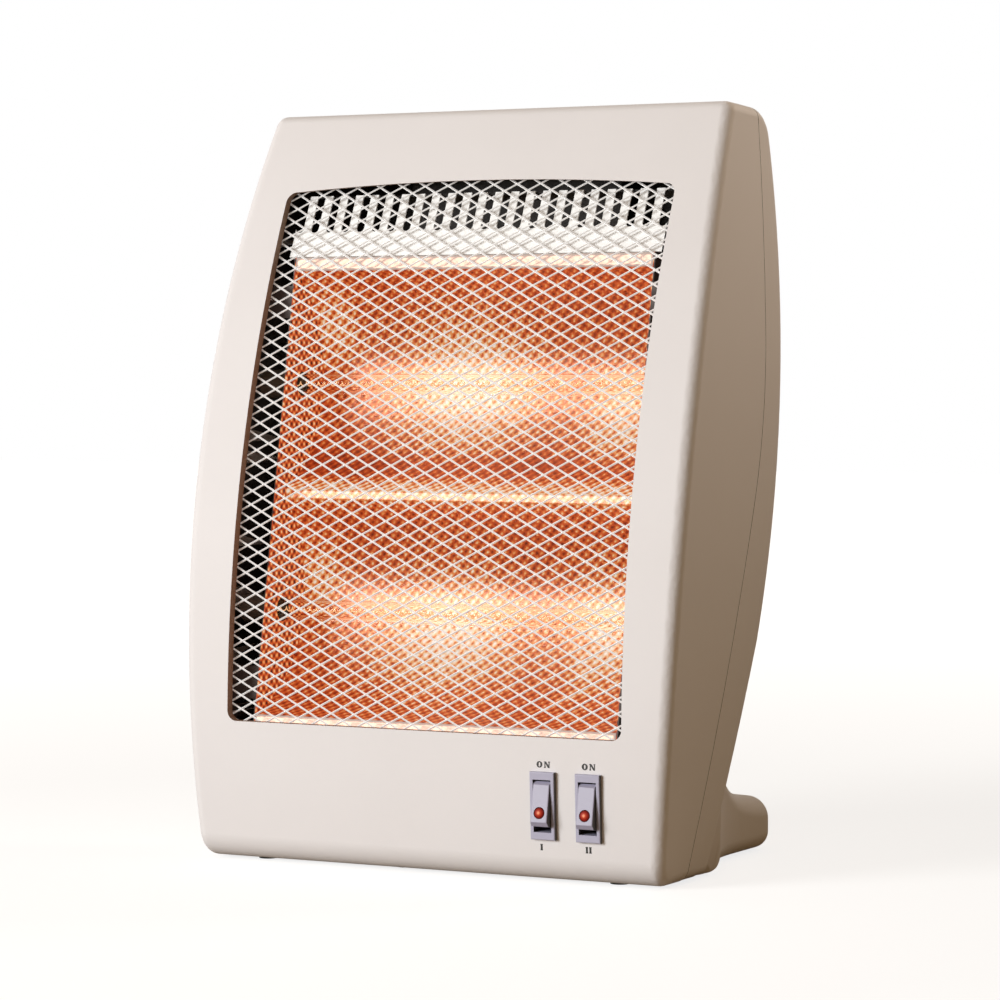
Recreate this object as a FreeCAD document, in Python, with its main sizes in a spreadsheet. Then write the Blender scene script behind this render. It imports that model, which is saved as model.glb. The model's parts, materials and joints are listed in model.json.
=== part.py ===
import FreeCAD, Part
import math
import os
import re

import Sketcher
from FreeCAD import Placement, Rotation, Vector

# A two-tube halogen heater, upright on a floor: X to the right, Y to the back, Z up, in millimetres.
# A setback is how far a point lies behind the front-most line of the bowed front.

SIZES = {
    # bowed body, seen from the side and from the front
    "body_top": 363,
    "front_bow_radius": 614,
    "front_tangent_height": 64,
    "top_depth": 42.3,
    "rear_top_drop": 2,
    "rear_bow_radius": 590,
    "knee_height": 108,
    "knee_setback": 98.5,
    "knee_round": 60,
    "base_setback": 55.5,
    "base_width": 246.5,
    "top_spread": 2.5,
    "side_bow_radius": 2003,
    "bottom_roll": 13,
    "top_front_round": 7,
    "rear_top_round": 16,
    "rear_bottom_round": 9,
    "side_round": 6,
    "wall": 2.5,
    "origin_setback": 82.26,
    # line where the front shell meets the rear cover
    "parting_base_setback": 28,
    "parting_knee_setback": 100.5,
    "parting_knee_height": 214,
    "parting_top_inset": 13.5,
    "parting_knee_round": 300,
    "parting_gap": 0.4,
    # window and wire mesh
    "window_side": 17.75,
    "window_bottom": 68,
    "window_drop": 39.5,
    "window_arch": 4.2,
    "window_round": 5,
    "reveal_depth": 4.5,
    "rim_wall": 2.5,
    "mesh_sheet": 1,
    "mesh_margin": 2.2,
    "mesh_cell_width": 27.6,
    "mesh_cell_height": 15.2,
    "mesh_strand": 1.6,
    # reflector, with its rim behind the mesh
    "rim_drop": 4,
    "rim_inset": 11,
    "rim_top_inset": 7.5,
    "reflector_side": 8.5,
    "reflector_sheet": 1.2,
    "lip_rise": 6.5,
    "ridge_rise": 5,
    "ridge_depth": 10,
    "trough_depth": 31,
    # end plates that close the reflector and carry the tubes
    "end_sheet": 1,
    "end_depth": 46,
    "end_corner": 14,
    "tab_rise": 16,
    "tab_reach": 24,
    "tab_inset": 22,
    # slotted vent plate over the reflector
    "vent_band": 31.9,
    "vent_side": 4.5,
    "vent_rise": 33,
    "vent_tilt": 24,
    "vent_sheet": 0.8,
    "vent_flange": 8,
    "slot_width": 4.3,
    "slot_bottom": 13,
    # quartz tubes, coils, ceramic caps and their clips
    "tube_diameter": 10,
    "tube_wall": 1,
    "tube_depth": 17,
    "tube_overhang": 9,
    "coil_diameter": 2.6,
    "cap_diameter": 14,
    "cap_length": 18,
    "cap_socket": 6,
    "tube_hole_diameter": 12,
    "clip_length": 8,
    "clip_sheet": 0.8,
    "clip_mouth": 9,
    # rocker switches
    "switch_height": 36.5,
    "switch_side": 34.15,
    "switch_pitch": 23.3,
    "bezel_width": 12.7,
    "bezel_height": 31.5,
    "bezel_proud": 2,
    "bezel_round": 0.6,
    "switch_width": 11.4,
    "switch_rise": 27.4,
    "switch_depth": 18,
    "rocker_cavity_width": 9.2,
    "rocker_cavity_rise": 24.4,
    "rocker_cavity_depth": 13,
    "rocker_width": 8.6,
    "rocker_rise": 20.8,
    "rocker_swing": 12,
    "rocker_pivot_depth": 5,
    "rocker_back_depth": 3,
    "rocker_back_rise": 12,
    "rocker_round": 0.6,
    "rocker_toe": 1.8,
    "pivot_diameter": 2.4,
    "pivot_length": 10.6,
    "lens_diameter": 5.4,
    "lens_drop": 4.3,
    "lens_seat": 1.6,
    "lens_proud": 0.7,
    "lens_round": 0.6,
    "blade_width": 4.8,
    "blade_sheet": 0.8,
    "blade_length": 8,
    "blade_pitch": 9.5,
    # rear cover: vents, grip, feet and screw wells
    "rear_slot_side": 29.25,
    "rear_slot_gap": 10,
    "rear_slot_rise": 4,
    "rear_slot_row_pitch": 10,
    "upper_slot_drop": 171,
    "lower_slot_height": 75,
    "grip_width": 110,
    "grip_rise": 26,
    "grip_drop": 58,
    "grip_depth": 20,
    "foot_reach": 170,
    "foot_end_height": 25,
    "foot_neck_height": 31,
    "foot_root_height": 83,
    "foot_neck_setback": 128,
    "foot_saddle_round": 70,
    "foot_inset": 15.25,
    "foot_width": 48,
    "foot_flare": 32,
    "foot_inner_flare": 24,
    "foot_tuck": 1,
    "foot_top_round": 11,
    "foot_heel_round": 8,
    "foot_corner_round": 13,
    "pad_diameter": 16,
    "pad_proud": 1,
    "rear_pad_inset": 22,
    "front_pad_setback": 20.5,
    "front_pad_diameter": 9,
    "front_pad_side": 28.25,
    # screws, posts and wells
    "post_diameter": 9,
    "post_side": 10.25,
    "boss_diameter": 9,
    "boss_side": 10.25,
    "lower_boss_height": 71,
    "upper_boss_drop": 25,
    "lower_boss_setback": 45,
    "upper_boss_inset": 35.4,
    "well_diameter": 11,
    "well_bore": 7.2,
    "well_floor": 3,
    "screw_diameter": 3.4,
    "screw_head_diameter": 6.4,
    "screw_head_rise": 2.4,
    "screw_length": 14,
    "tab_screw_length": 9,
    # tip-over switch, cut-out, terminal block and cord bush
    "tip_x": -20,
    "tip_setback": 21,
    "tip_width": 20,
    "tip_depth": 11,
    "tip_rise": 24,
    "tip_bore_rise": 17,
    "plunger_diameter": 5,
    "plunger_length": 16,
    "plunger_lift": 0.2,
    "collar_diameter": 7.4,
    "collar_rise": 2,
    "collar_height": 12,
    "guide_rise": 3,
    "block_x": 20,
    "block_width": 32,
    "block_depth": 13,
    "block_rise": 15,
    "block_step_rise": 8,
    "block_step_depth": 4,
    "block_screw_diameter": 4,
    "block_screw_pitch": 10,
    "cutout_diameter": 16,
    "cutout_flange_diameter": 22,
    "cutout_flange_sheet": 1.4,
    "cutout_rise": 9,
    "cutout_depth": 28,
    "bush_height": 34,
    "bush_diameter": 15,
    "bush_bore": 8,
    "bush_flange_diameter": 21,
    "bush_flange_rise": 2.5,
    "bush_length": 14,
    # fits
    "seat_gap": 0.1,
    "shaft_gap": 0.08,
    "slide_gap": 0.3,
    "overrun": 5,
    "end_arc_ease": 0.005,
}
VENT_SLOTS = 24
REAR_COLUMNS = 3
UPPER_REAR_ROWS = 10
LOWER_REAR_ROWS = 3
BLADES = 3
BLOCK_WAYS = 3


def bow(height):
    """Setback of the bowed front at a height, as a sum."""
    return f"(front_bow_radius - sqrt(front_bow_radius^2 - ({height} - front_tangent_height)^2))"


# Sizes that follow from the ones above
DERIVED = {
    "top_width": "base_width + top_spread",
    "rear_top_setback": bow("body_top") + " + top_depth",
    "parting_top_setback": "rear_top_setback - parting_top_inset",
    "window_width": "base_width - 2 * window_side",
    "window_top": "body_top - window_drop",
    "rim_bottom": "window_bottom - rim_drop",
    "rim_top": "window_top - vent_band",
    "rim_setback": bow("rim_bottom") + " + rim_inset",
    "rim_lean": bow("rim_top") + " + rim_top_inset - rim_setback",
    "rim_tilt": "atan(rim_lean / (rim_top - rim_bottom)) / (1 deg)",
    "reflector_width": "window_width - 2 * reflector_side",
    "reflector_rise": "sqrt((rim_top - rim_bottom)^2 + rim_lean^2)",
    "trough_rise": "(reflector_rise - ridge_rise) / 2 - lip_rise",
    "trough_radius": "((trough_rise^2 + ridge_depth^2) / 4 + trough_depth^2) / (2 * trough_depth)",
    "vent_width": "window_width - 2 * vent_side",
    "slot_pitch": f"vent_width / {VENT_SLOTS - 0.5}",
    "tube_length": "reflector_width + 2 * tube_overhang",
    "switch_x": "base_width / 2 - switch_side - switch_pitch",
    "post_x": "base_width / 2 - post_side",
    "boss_x": "base_width / 2 - boss_side",
    "upper_boss_height": "body_top - upper_boss_drop",
    "upper_boss_setback": bow("upper_boss_height") + " + upper_boss_inset",
    "rear_slot_width": f"(base_width - 2 * rear_slot_side + rear_slot_gap) / {REAR_COLUMNS} - rear_slot_gap",
    "rear_slot_column_pitch": "rear_slot_width + rear_slot_gap",
    "upper_slot_height": "body_top - upper_slot_drop",
    "grip_height": "body_top - grip_drop",
    "foot_outer": "base_width / 2 - foot_inset",
    "foot_inner": "foot_outer - foot_width",
    "foot_root_outer": "foot_outer + foot_flare",
    "foot_root_inner": "foot_inner - foot_inner_flare",
    "front_pad_x": "base_width / 2 - front_pad_side",
    "rear_pad_x": "(foot_outer + foot_inner) / 2",
    "rear_pad_setback": "foot_reach - rear_pad_inset",
}

ALONG_X = Vector(1, 0, 0)
ALONG_Y = Vector(0, 1, 0)
ALONG_Z = Vector(0, 0, 1)
PLANES = {
    "side": (Rotation(Vector(1, 1, 1), 120), "YZ_Plane"),
    "front": (Rotation(ALONG_X, 90), "XZ_Plane"),
    "plan": (Rotation(), "XY_Plane"),
}

doc = FreeCAD.newDocument("HalogenHeater")
sheet = doc.addObject("Spreadsheet::Sheet", "Sizes")
entries = {alias: str(size) for alias, size in SIZES.items()}
entries.update((alias, f"={formula}") for alias, formula in DERIVED.items())
for row, (alias, entry) in enumerate(entries.items(), start=1):
    sheet.set(f"A{row}", alias)
    sheet.set(f"B{row}", entry)
    sheet.setAlias(f"B{row}", alias)
doc.recompute()


# Sums of sizes

def ex(text):
    """The same sum, with each size read from the sheet."""
    return re.sub(r"[a-z_]+", lambda word: f"Sizes.{word[0]}" if word[0] in entries else word[0], text)


def val(text):
    """What a sum of sizes comes to."""
    answer = sheet.evalExpression(ex(text))
    return float(getattr(answer, "Value", answer))


def bind(item, **sums):
    for name, text in sums.items():
        item.setExpression(name, ex(text))
    return item


def place(item, x="0", y="0", z="0", turn=None, axis=ALONG_X):
    """Places an item by sums for its three coordinates, and turns it about one axis."""
    if turn:
        item.Placement = Placement(Vector(), Rotation(axis, val(turn)))
        item.setExpression("Placement.Rotation.Angle", ex(turn))
    for name, text in zip("xyz", (x, y, z)):
        item.setExpression(f"Placement.Base.{name}", ex(text))
    return item


# Sketches

def new_sketch(name, plane, body=None, x="0", y="0", z="0"):
    turn, role = PLANES[plane]
    if body is None:
        sketch = doc.addObject("Sketcher::SketchObject", name)
        sketch.Placement = Placement(Vector(), turn)
        for letter, text in zip("xyz", (x, y, z)):
            sketch.setExpression(f"Placement.Base.{letter}", ex(text))
        return sketch
    sketch = body.newObject("Sketcher::SketchObject", name)
    origin = next(item for item in body.Origin.OriginFeatures if item.Role == role)
    sketch.AttachmentSupport = [(origin, "")]
    sketch.MapMode = "FlatFace"
    return sketch


def pin(rules, geometry, vertex, x, y):
    """Holds a vertex at the place that two sums give."""
    rules.append((Sketcher.Constraint("DistanceX", -1, 1, geometry, vertex, val(x)), x))
    rules.append((Sketcher.Constraint("DistanceY", -1, 1, geometry, vertex, val(y)), y))


def hold(sketch, rules):
    """Adds the rules to a sketch and binds each one to its sum."""
    first = sketch.ConstraintCount
    sketch.addConstraint([rule for rule, text in rules])
    for index, (rule, text) in enumerate(rules, start=first):
        if text:
            sketch.setExpression(f"Constraints[{index}]", ex(text))


def outline(sketch, corners):
    """A closed outline. A corner (x, y, radius, side) starts an arc that bulges left (1) or right (-1)."""
    points = [Vector(val(corner[0]), val(corner[1]), 0) for corner in corners]
    rules = []
    ends = []
    for corner, start, finish in zip(corners, points, points[1:] + points[:1]):
        if len(corner) == 2:
            line = sketch.addGeometry(Part.LineSegment(start, finish))
            ends.append((line, 1, 2))
            continue
        radius = val(corner[2])
        half = (finish - start) * 0.5
        across = Vector(-half.y, half.x, 0).normalize() * corner[3]
        centre = start + half - across * math.sqrt(radius**2 - half.Length**2)
        span = (finish, start) if corner[3] > 0 else (start, finish)
        angles = [math.atan2(point.y - centre.y, point.x - centre.x) for point in span]
        arc = sketch.addGeometry(Part.ArcOfCircle(Part.Circle(centre, ALONG_Z, radius), *angles))
        ends.append((arc, 2, 1) if corner[3] > 0 else (arc, 1, 2))
        rules.append((Sketcher.Constraint("Radius", arc, radius), corner[2]))
    for corner, (edge, start, finish), follower in zip(corners, ends, ends[1:] + ends[:1]):
        pin(rules, edge, start, corner[0], corner[1])
        rules.append((Sketcher.Constraint("Coincident", edge, finish, follower[0], follower[1]), None))
    hold(sketch, rules)
    return sketch


def rectangle(sketch, x, y, width, rise):
    """A rectangle by its middle and its two sizes."""
    left, right = f"{x} - ({width}) / 2", f"{x} + ({width}) / 2"
    low, high = f"{y} - ({rise}) / 2", f"{y} + ({rise}) / 2"
    return outline(sketch, [(left, low), (right, low), (right, high), (left, high)])


def circle(sketch, x, y, diameter):
    radius = f"({diameter}) / 2"
    ring = sketch.addGeometry(Part.Circle(Vector(val(x), val(y), 0), ALONG_Z, val(radius)))
    rules = [(Sketcher.Constraint("Radius", ring, val(radius)), radius)]
    pin(rules, ring, 3, x, y)
    hold(sketch, rules)
    return sketch


# Features of a body

def new_body(name):
    return doc.addObject("PartDesign::Body", name)


def grow(body, kind, sketch, length, symmetric=False, backwards=False):
    """A pad or a pocket of a sketch, by a bound length."""
    feature = body.newObject(f"PartDesign::{kind}", f"{sketch.Name}_{kind.lower()}")
    feature.Profile = sketch
    feature.Midplane = symmetric
    feature.Reversed = backwards
    bind(feature, Length=length)
    sketch.Visibility = False
    doc.recompute()
    return feature


def cut_check(body, before, name):
    """A cut that takes nothing away points the wrong way."""
    if body.Shape.Volume >= before:
        raise RuntimeError(f"{name} cut nothing")


def pocket(body, sketch, length, symmetric=False, backwards=False):
    doc.recompute()
    before = body.Shape.Volume
    feature = grow(body, "Pocket", sketch, length, symmetric, backwards)
    cut_check(body, before, sketch.Name)
    return feature


# Solids of the document

def prism(name, sketch, along, length, symmetric=True):
    item = doc.addObject("Part::Extrusion", name)
    item.Base = sketch
    item.DirMode = "Custom"
    item.Dir = along
    item.Solid = True
    item.Symmetric = symmetric
    return bind(item, LengthFwd=length)


def inset(name, sketch, distance):
    item = doc.addObject("Part::Offset2D", name)
    item.Source = sketch
    item.Join = "Intersection"
    return bind(item, Value=f"-({distance})")


def merge(name, kind, base, tool):
    """A Cut, Common or Fuse of two solids."""
    item = doc.addObject(f"Part::{kind}", name)
    item.Base = base
    item.Tool = tool
    item.Refine = True
    return item


def join(name, items):
    item = doc.addObject("Part::MultiFuse", name)
    item.Shapes = items
    item.Refine = True
    return item


def group(name, items):
    item = doc.addObject("Part::Compound", name)
    item.Links = items
    return item


def mirror(name, source):
    item = doc.addObject("Part::Mirroring", name)
    item.Source = source
    item.Normal = ALONG_X
    return item


def rounded(name, base, radius_of):
    """Rounds each edge that radius_of gives a size for."""
    doc.recompute()
    item = doc.addObject("Part::Fillet", name)
    item.Base = base
    sizes = ((number, radius_of(edge)) for number, edge in enumerate(base.Shape.Edges, start=1))
    item.Edges = [(number, size, size) for number, size in sizes if size]
    return item


def cylinder(name, diameter, length, x="0", y="0", z="0", along="y"):
    """A round bar from a point, along one axis."""
    item = doc.addObject("Part::Cylinder", name)
    bind(item, Radius=f"({diameter}) / 2", Height=length)
    turns = {"x": (ALONG_Y, 90), "y": (ALONG_X, -90), "z": (ALONG_Z, 0)}
    item.Placement = Placement(Vector(), Rotation(*turns[along]))
    for name, text in zip("xyz", (x, y, z)):
        item.setExpression(f"Placement.Base.{name}", ex(text))
    return item


def block(name, width, depth, rise, x="0", y="0", z="0"):
    """A box by its lowest corner."""
    item = doc.addObject("Part::Box", name)
    bind(item, Length=width, Width=depth, Height=rise)
    return place(item, x, y, z)


def runs_along(edge, axis):
    """Whether an edge is straight and lies along an axis."""
    if edge.Curve.TypeId != "Part::GeomLine":
        return False
    return abs(edge.Curve.Direction.dot(axis)) > 0.999


def behind(setback):
    """A setback as a Y place."""
    return f"({setback}) - origin_setback"


# Bowed body: the blank, its hollow and the middle of its wall

side_profile = outline(new_sketch("side_profile", "side", y=behind("0")), [
    (bow("pad_proud"), "pad_proud", "front_bow_radius", 1),
    (bow("body_top"), "body_top"),
    ("rear_top_setback", "body_top - rear_top_drop", "rear_bow_radius", 1),
    ("knee_setback", "knee_height"),
    ("base_setback", "pad_proud"),
])
front_outline = outline(new_sketch("front_outline", "front", y=behind("-overrun")), [
    ("base_width / 2", "-overrun", "side_bow_radius", -1),
    ("top_width / 2", "body_top + overrun"),
    ("-top_width / 2", "body_top + overrun", "side_bow_radius", -1),
    ("-base_width / 2", "-overrun"),
])


def body_blank(name, depth, side_edges):
    """The bowed body, drawn in by a depth all round."""
    side, front = side_profile, front_outline
    if depth != "0":
        side = inset(f"{name}_side", side_profile, depth)
        front = inset(f"{name}_front", front_outline, depth)
    rolled = prism(f"{name}_roll", side, ALONG_X, "base_width + top_width")
    corners = {
        "bottom_roll": (bow("pad_proud"), "pad_proud"),
        "top_front_round": (bow("body_top"), "body_top"),
        "rear_top_round": ("rear_top_setback", "body_top - rear_top_drop"),
        "knee_round": ("knee_setback", "knee_height"),
        "rear_bottom_round": ("base_setback", "pad_proud"),
    }

    def corner_round(edge):
        if not runs_along(edge, ALONG_X):
            return None
        middle = edge.CenterOfMass
        for size, (setback, height) in corners.items():
            reach = math.hypot(middle.y - val(behind(setback)), middle.z - val(height))
            if reach < val("wall + side_round"):
                return val(f"{size} - ({depth})")
        return None

    rolled = rounded(f"{name}_rolled", rolled, corner_round)
    plan = prism(f"{name}_barrel", front, ALONG_Y, "foot_reach + overrun", symmetric=False)
    whole = merge(f"{name}_sharp", "Common", rolled, plan)
    if not side_edges:
        return whole
    doc.recompute()
    bows = [face for face in whole.Shape.Faces if face.BoundBox.XLength < face.BoundBox.YLength]
    rims = [edge for face in bows for edge in face.Edges]
    radius = val(f"side_round - ({depth})")
    return rounded(name, whole, lambda edge: any(edge.isSame(rim) for rim in rims) and radius)


blank = body_blank("blank", "0", True)
hollow = body_blank("hollow", "wall", True)
core = body_blank("core", "wall / 2", False)
body_wall = merge("body_wall", "Cut", blank, hollow)


def parting_region(name, ahead):
    """All that lies ahead of, or behind, the line where the two shells meet."""
    gap = "0" if ahead else "parting_gap"
    far = "-overrun" if ahead else "foot_reach + overrun"
    region = outline(new_sketch(f"{name}_sketch", "side", y=behind("0")), [
        (far, "-overrun"),
        (f"parting_base_setback + {gap}", "-overrun"),
        (f"parting_knee_setback + {gap}", "parting_knee_height"),
        (f"parting_top_setback + {gap}", "body_top + overrun"),
        (far, "body_top + overrun"),
    ])
    slab = prism(f"{name}_slab", region, ALONG_X, "base_width + top_width")

    def parting_round(edge):
        at_knee = abs(edge.CenterOfMass.z - val("parting_knee_height")) < val("wall")
        return val("parting_knee_round") if at_knee and runs_along(edge, ALONG_X) else None

    return rounded(name, slab, parting_round)


front_region = parting_region("front_region", True)
rear_region = parting_region("rear_region", False)
front_wall = merge("front_wall", "Common", body_wall, front_region)
rear_wall = merge("rear_wall", "Common", body_wall, rear_region)


# Window, its raised rim and the bowed bands behind it

window_outline = outline(new_sketch("window_outline", "front", y=behind("-overrun")), [
    ("-window_width / 2", "window_bottom"),
    ("window_width / 2", "window_bottom"),
    ("window_width / 2", "window_top", "((window_width / 2)^2 + window_arch^2) / (2 * window_arch)", -1),
    ("-window_width / 2", "window_top"),
])


def window_prism(name, spread):
    """The window's outline, spread by a distance, as a solid through the front."""
    shape = inset(f"{name}_outline", window_outline, f"-({spread})") if spread != "0" else window_outline
    solid = prism(f"{name}_sharp", shape, ALONG_Y, "rear_top_setback", symmetric=False)
    corner = val(f"window_round + {spread}")
    return rounded(name, solid, lambda edge: runs_along(edge, ALONG_Y) and corner)


def bowed_band(name, start, finish):
    """A sheet that follows the bowed front between two setbacks from it."""
    low, high = "window_bottom - overrun", "window_top + window_arch + overrun"
    band = outline(new_sketch(f"{name}_sketch", "side", y=behind("0")), [
        (f"{bow(low)} + {start}", low, "front_bow_radius", 1),
        (f"{bow(high)} + {start}", high),
        (f"{bow(high)} + {finish}", high, "front_bow_radius", -1),
        (f"{bow(low)} + {finish}", low),
    ])
    return prism(name, band, ALONG_X, "base_width")


window = window_prism("window", "0")
rim_band = bowed_band("rim_band", "wall / 2", "reveal_depth")
rim = merge("rim", "Common", window_prism("rim_prism", "rim_wall"), rim_band)


# Tilted frame of the reflector, and the local frame of the switches on the front

def on_rim(depth="0", rise="0"):
    """Place of a point behind the reflector's rim and up along it."""
    return {
        "y": behind(f"rim_setback + ({depth}) * cos(rim_tilt) + ({rise}) * sin(rim_tilt)"),
        "z": f"rim_bottom + ({rise}) * cos(rim_tilt) - ({depth}) * sin(rim_tilt)",
    }


PANEL_LEAN = "(asin((front_tangent_height - switch_height) / front_bow_radius) / (1 deg))"


def on_panel(depth="0", rise="0"):
    """Place of a point behind the front at the switches and up along it."""
    face = f"{bow('switch_height')} - seat_gap"
    return {
        "y": behind(f"{face} + ({depth}) * cos({PANEL_LEAN}) - ({rise}) * sin({PANEL_LEAN})"),
        "z": f"switch_height + ({rise}) * cos({PANEL_LEAN}) + ({depth}) * sin({PANEL_LEAN})",
    }


LOWER_TUBE = "((lip_rise + reflector_rise / 2 - ridge_rise / 2) / 2)"
UPPER_TUBE = f"(reflector_rise - {LOWER_TUBE})"
TABS = {"lower": "tab_inset", "upper": "(reflector_rise - tab_inset)"}
BOSSES = {
    "lower": ("lower_boss_height", "lower_boss_setback"),
    "upper": ("upper_boss_height", "upper_boss_setback"),
}
SIDES = {"left": "-1", "right": "1"}


def tilted_bar(name, diameter, length, x, depth, rise):
    """A round bar square to the reflector's rim, from a depth backwards."""
    item = doc.addObject("Part::Cylinder", name)
    bind(item, Radius=f"({diameter}) / 2", Height=length)
    return place(item, x=x, turn="-90 - rim_tilt", **on_rim(depth, rise))


def four(make):
    """One item at each of two heights on each side."""
    return [make(side, sign, level) for side, sign in SIDES.items() for level in ("lower", "upper")]


# Front shell

posts = join("posts", four(lambda side, sign, level: tilted_bar(
    f"post_{side}_{level}", "post_diameter", "knee_setback", f"{sign} * post_x",
    "-knee_setback - seat_gap", TABS[level])))
bosses = join("bosses", four(lambda side, sign, level: cylinder(
    f"boss_{side}_{level}", "boss_diameter", f"{BOSSES[level][1]} + overrun", f"{sign} * boss_x",
    behind("-overrun"), BOSSES[level][0])))
supports = merge("supports", "Common", join("all_supports", [posts, bosses]), core)

pilots = four(lambda side, sign, level: tilted_bar(
    f"pilot_{side}_{level}", "screw_diameter + 2 * shaft_gap", "tab_screw_length", f"{sign} * post_x",
    "-tab_screw_length", TABS[level]))
pilots += four(lambda side, sign, level: cylinder(
    f"boss_pilot_{side}_{level}", "screw_diameter + 2 * shaft_gap", "screw_length", f"{sign} * boss_x",
    behind(f"{BOSSES[level][1]} - screw_length + well_floor"), BOSSES[level][0]))


def switch_x(side):
    return "switch_x" if side == "left" else "(switch_x + switch_pitch)"


switch_holes = [block(
    f"switch_hole_{side}", "switch_width + 2 * slide_gap", "wall + 2 * overrun",
    "switch_rise + 2 * slide_gap", f"{switch_x(side)} - switch_width / 2 - slide_gap", behind("-overrun"),
    "switch_height - switch_rise / 2 - slide_gap") for side in SIDES]
plunger_hole = cylinder(
    "plunger_hole", "plunger_diameter + 2 * slide_gap", "2 * overrun", "tip_x", behind("tip_setback"),
    "-overrun / 2", along="z")

front_body = join("front_body", [front_wall, rim, supports])
front_cuts = join("front_cuts", [window, plunger_hole] + switch_holes + pilots)
front_shell = merge("front_shell", "Cut", front_body, front_cuts)


# Rear cover: feet, screw wells, hand grip and vents

FOOT_ROOT = "(base_setback - rear_bottom_round)"
foot_side = outline(new_sketch("foot_side", "side", y=behind("0")), [
    (FOOT_ROOT, "pad_proud"),
    ("foot_reach", "pad_proud"),
    ("foot_reach", "foot_end_height"),
    ("foot_neck_setback", "foot_neck_height"),
    (FOOT_ROOT, "foot_root_height"),
])


def flare(spread):
    """Radius of a flare that runs out straight at the neck of the foot."""
    return f"((foot_neck_setback - {FOOT_ROOT})^2 + ({spread})^2) / (2 * ({spread}))"


foot_plan = outline(new_sketch("foot_plan", "plan", y=behind("0"), z="-overrun"), [
    ("foot_root_inner", FOOT_ROOT),
    ("foot_root_outer", FOOT_ROOT, flare("foot_flare"), 1),
    ("foot_outer", "foot_neck_setback"),
    ("foot_outer", "foot_reach"),
    ("foot_inner", "foot_reach"),
    ("foot_inner", "foot_neck_setback", flare("foot_inner_flare"), 1),
])


def foot(name, depth):
    """The right foot, drawn in by a depth all round and kept within the sides of the case."""
    side, plan = foot_side, foot_plan
    if depth != "0":
        side = inset(f"{name}_side", foot_side, depth)
        plan = inset(f"{name}_plan", foot_plan, depth)

    def saddle_round(edge):
        middle = edge.CenterOfMass
        reach = math.hypot(
            middle.y - val(behind("foot_neck_setback")), middle.z - val("foot_neck_height"))
        at_neck = reach < val("2 * wall") and runs_along(edge, ALONG_X)
        return val(f"foot_saddle_round + ({depth})") if at_neck else None

    def corner_round(edge):
        at_end = edge.CenterOfMass.y > val(behind("foot_reach - foot_corner_round"))
        return val(f"foot_corner_round - ({depth})") if at_end and runs_along(edge, ALONG_Z) else None

    def rim_round(edge):
        box = edge.BoundBox
        seam = runs_along(edge, ALONG_X) and box.YMax < val(behind("foot_reach - foot_corner_round"))
        at_root = box.YMax < val(behind(f"{FOOT_ROOT} + overrun"))
        if seam or at_root or runs_along(edge, ALONG_Z):
            return None
        heel = box.ZMax < val("foot_end_height / 2")
        return val(("foot_heel_round" if heel else "foot_top_round") + f" - ({depth})")

    slab = prism(f"{name}_slab_sharp", side, ALONG_X, "base_width + top_width")
    tail = prism(f"{name}_tail_sharp", plan, ALONG_Z, "foot_root_height + 2 * overrun", symmetric=False)
    sharp = merge(
        f"{name}_sharp", "Common", rounded(f"{name}_slab", slab, saddle_round),
        rounded(f"{name}_tail", tail, corner_round))
    sides = inset(f"{name}_sides", front_outline, f"{depth} + foot_tuck")
    barrel = prism(f"{name}_barrel", sides, ALONG_Y, "foot_reach + 2 * overrun", symmetric=False)
    return merge(f"{name}_flush", "Common", rounded(f"{name}_rounded", sharp, rim_round), barrel)


foot_outside = foot("foot", "0")
foot_hollow = foot("foot_hollow", "wall")
foot_shell = merge("foot_shell", "Cut", merge("foot_behind", "Common", foot_outside, rear_region), hollow)

wells = merge("wells", "Common", join("all_wells", four(lambda side, sign, level: cylinder(
    f"well_{side}_{level}", "well_diameter", "foot_reach", f"{sign} * boss_x",
    behind(f"{BOSSES[level][1]} + seat_gap"), BOSSES[level][0]))), core)
well_cuts = four(lambda side, sign, level: cylinder(
    f"well_bore_{side}_{level}", "well_bore", "foot_reach", f"{sign} * boss_x",
    behind(f"{BOSSES[level][1]} + seat_gap + well_floor"), BOSSES[level][0]))
well_cuts += four(lambda side, sign, level: cylinder(
    f"well_hole_{side}_{level}", "screw_diameter + 2 * slide_gap", "2 * well_floor", f"{sign} * boss_x",
    behind(f"{BOSSES[level][1]} - well_floor / 2"), BOSSES[level][0]))

grip_front = behind("rear_top_setback - grip_depth")
grip_shell = merge("grip_shell", "Common", block(
    "grip_box", "grip_width + 2 * wall", "foot_reach", "grip_rise + 2 * wall", "-grip_width / 2 - wall",
    f"{grip_front} - wall", "grip_height - wall"), core)
grip_pocket = rounded("grip_pocket", block(
    "grip_pocket_sharp", "grip_width", "foot_reach", "grip_rise", "-grip_width / 2", grip_front,
    "grip_height"), lambda edge: runs_along(edge, ALONG_Y) and val("window_round"))


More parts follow.
